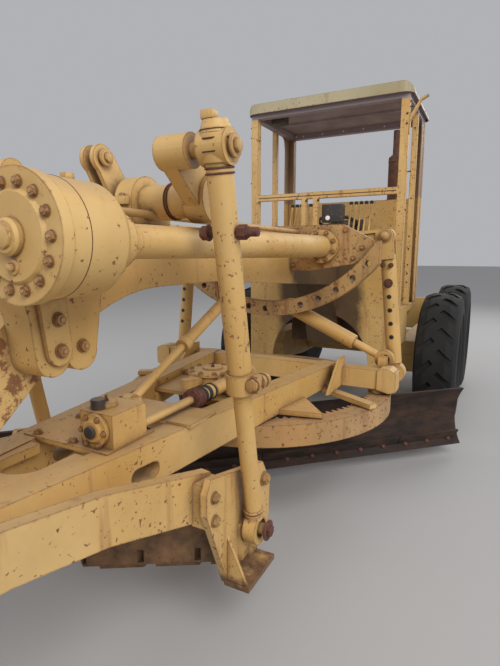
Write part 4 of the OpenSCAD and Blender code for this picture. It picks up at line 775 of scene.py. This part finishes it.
# A sheet of painted shade under the roof
fitted("roof_shade_sheet", "frame", "under_roof_shade",
       [block(spot(5.360, 0, 3.1395), (0.900, 1.390, 0.008)),
        block(spot(5.360, 0, 3.128), (0.050, 1.390, 0.022))], 0.002)
LEVERS = [side * (0.210 + 0.050 * k) for side in (-1, 1) for k in range(5)]
fitted("lever_knobs", "frame", "rubber", [ball(spot(5.110, y, 2.254), 0.019, 16) for y in LEVERS])
fitted("lever_boots", "frame", "rubber",
       [rod(spot(4.976, y, 1.869), spot(4.991, y, 1.910), 0.021, 16, 0.012) for y in LEVERS])
fitted("dash_box", "frame", "dark_paint", [block(spot(4.945, 0.080, 2.150), (0.090, 0.210, 0.170))], 0.010)
dials = [spot(4.988, y, z) for y, z in ((0.030, 2.190), (0.130, 2.190), (0.080, 2.115))]
fitted("dash_dials", "frame", "pale",
       [rod(at, at + REARWARD * 0.005, 0.030, 24) for at in dials]
       + [rod(spot(4.9015, 0.040, 2.105), spot(4.8940, 0.040, 2.105), 0.022, 24)], 0.001)

# Operator's seat: a pressed pedestal, and two cushions blown up by cloth simulation
CUSHION_MOVE, SEAM_WIDTH, SKIN = 0.022, 0.010, 0.001


def cushion(name, low, high, seams):
    """A stuffed pad: inflated, its movement capped, kept in the box from low to high, drawn in at seams."""
    low, high = Vector(low), Vector(high)
    inset = Vector((0.014, 0.014, 0.010))
    pad = block((low + high) / 2, high - low - inset * 2)
    bpy.ops.object.transform_apply(location=True, rotation=True, scale=True)
    for kind, settings in (("BEVEL", {"width": 0.022, "segments": 3}),
                           ("REMESH", {"mode": "VOXEL", "voxel_size": 0.009})):
        step = pad.modifiers.new(kind.lower(), kind)
        for key, value in settings.items():
            setattr(step, key, value)
        bpy.ops.object.modifier_apply(modifier=step.name)
    before = [v.co.copy() for v in pad.data.vertices]
    cloth = pad.modifiers.new("cloth", "CLOTH")
    cloth.settings.use_pressure = True
    cloth.settings.uniform_pressure_force = 4.0
    cloth.settings.effector_weights.gravity = 0.0
    for number in range(1, 21):
        bpy.context.scene.frame_set(number)
    bpy.ops.object.modifier_apply(modifier=cloth.name)
    for vertex, start in zip(pad.data.vertices, before):
        move = vertex.co - start
        if move.length > CUSHION_MOVE:
            vertex.co = start + move * (CUSHION_MOVE / move.length)
    bpy.context.scene.frame_set(1)
    for vertex in pad.data.vertices:
        for axis in range(3):
            vertex.co[axis] = min(max(vertex.co[axis], low[axis] + SKIN), high[axis] - SKIN)
    middle = (low + high) / 2
    for axis, at, depth in seams:
        for vertex in pad.data.vertices:
            near = math.exp(-((vertex.co[axis] - at) / SEAM_WIDTH) ** 2)
            vertex.co += (middle - vertex.co).normalized() * depth * near
    smooth = pad.modifiers.new("smooth", "SUBSURF")
    smooth.levels = smooth.render_levels = 1
    bpy.ops.object.modifier_apply(modifier=smooth.name)
    bpy.ops.object.shade_smooth()
    pad.name = pad.data.name = name
    dressed(pad, "frame", "seat_cover")


SEAT_S, SEAT_HALF, SEAM_DEPTH = 5.590, 0.220, 0.006
seat_rear, seat_front, back_front = spot(5.770, 0, 0).x, spot(5.370, 0, 0).x, spot(5.680, 0, 0).x
cushion("seat_cushion", (seat_rear, -SEAT_HALF, 1.650), (seat_front, SEAT_HALF, 1.760),
        [(1, -0.110, SEAM_DEPTH), (1, 0.110, SEAM_DEPTH)])
cushion("seat_back_cushion", (seat_rear, -SEAT_HALF, 1.764), (back_front, SEAT_HALF, 2.170),
        [(2, 1.900, SEAM_DEPTH), (2, 2.030, SEAM_DEPTH)])
pedestal = [block(spot(SEAT_S, 0, 1.450), (0.260, 0.240, 0.396)),
            block(spot(SEAT_S, 0, 1.6420), (0.300, 0.340, 0.014)),
            block(spot(SEAT_S, 0, 1.2560), (0.280, 0.260, 0.012)),
            rod(spot(SEAT_S, 0.115, 1.600), spot(SEAT_S, 0.200, 1.600), 0.010, 12),
            ball(spot(SEAT_S, 0.204, 1.600), 0.016, 14)]
frame_of_seat = fitted("seat_pedestal", "frame", "dark_paint", pedestal, 0.006)
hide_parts("operator_seat")
for pattern in (hex_bolt, grease_nipple, plough_bolt):
    bpy.data.objects.remove(pattern)

# Camera, floor and light
CAMERA_AT, HEADING, PITCH = (3.305, 1.5, 1.75), math.radians(27.4), math.radians(9.5)
FOCAL_PIXELS, FRAME_HEIGHT = 465.0, 666.0
view = bpy.data.cameras.new("photograph_view")
view.sensor_fit = "VERTICAL"
view.sensor_height = view.sensor_width = 36.0
view.lens = FOCAL_PIXELS / FRAME_HEIGHT * view.sensor_height
view.clip_start = 0.05
eye = bpy.data.objects.new("photograph_view", view)
ahead = Vector((-math.cos(HEADING) * math.cos(PITCH), -math.sin(HEADING) * math.cos(PITCH), -math.sin(PITCH)))
eye.location = CAMERA_AT
eye.rotation_euler = ahead.to_track_quat("-Z", "Y").to_euler()
bpy.context.scene.collection.objects.link(eye)
bpy.context.scene.camera = eye

bpy.ops.object.select_all(action="DESELECT")
bpy.ops.mesh.primitive_plane_add(size=160.0, location=(0, 0, -0.002))
floor = bpy.context.object
floor.name = "floor"
floor.data.materials.append(plain("pale_floor", (0.46, 0.45, 0.44), 0.9))

scene = bpy.context.scene
scene.view_settings.view_transform = "Standard"
world = bpy.data.worlds.new("studio")
scene.world = world
world.use_nodes = True
sky = world.node_tree.nodes["Background"]
sky.inputs["Color"].default_value = (0.93, 0.95, 1.0, 1.0)
sky.inputs["Strength"].default_value = 0.47
for name, at, aim, size, power in (
        ("key", (7.0, 8.0, 9.0), (0.5, 0.0, 1.0), 7.0, 1050.0),
        ("fill", (5.0, -9.0, 7.0), (0.5, 0.0, 1.0), 8.0, 260.0),
        ("rim", (-10.0, 3.0, 8.0), (-1.0, 0.0, 1.5), 7.0, 420.0)):
    lamp = bpy.data.lights.new(name, "AREA")
    lamp.size, lamp.energy = size, power
    holder = bpy.data.objects.new(name, lamp)
    holder.location = at
    holder.rotation_euler = (Vector(aim) - Vector(at)).to_track_quat("-Z", "Y").to_euler()
    scene.collection.objects.link(holder)
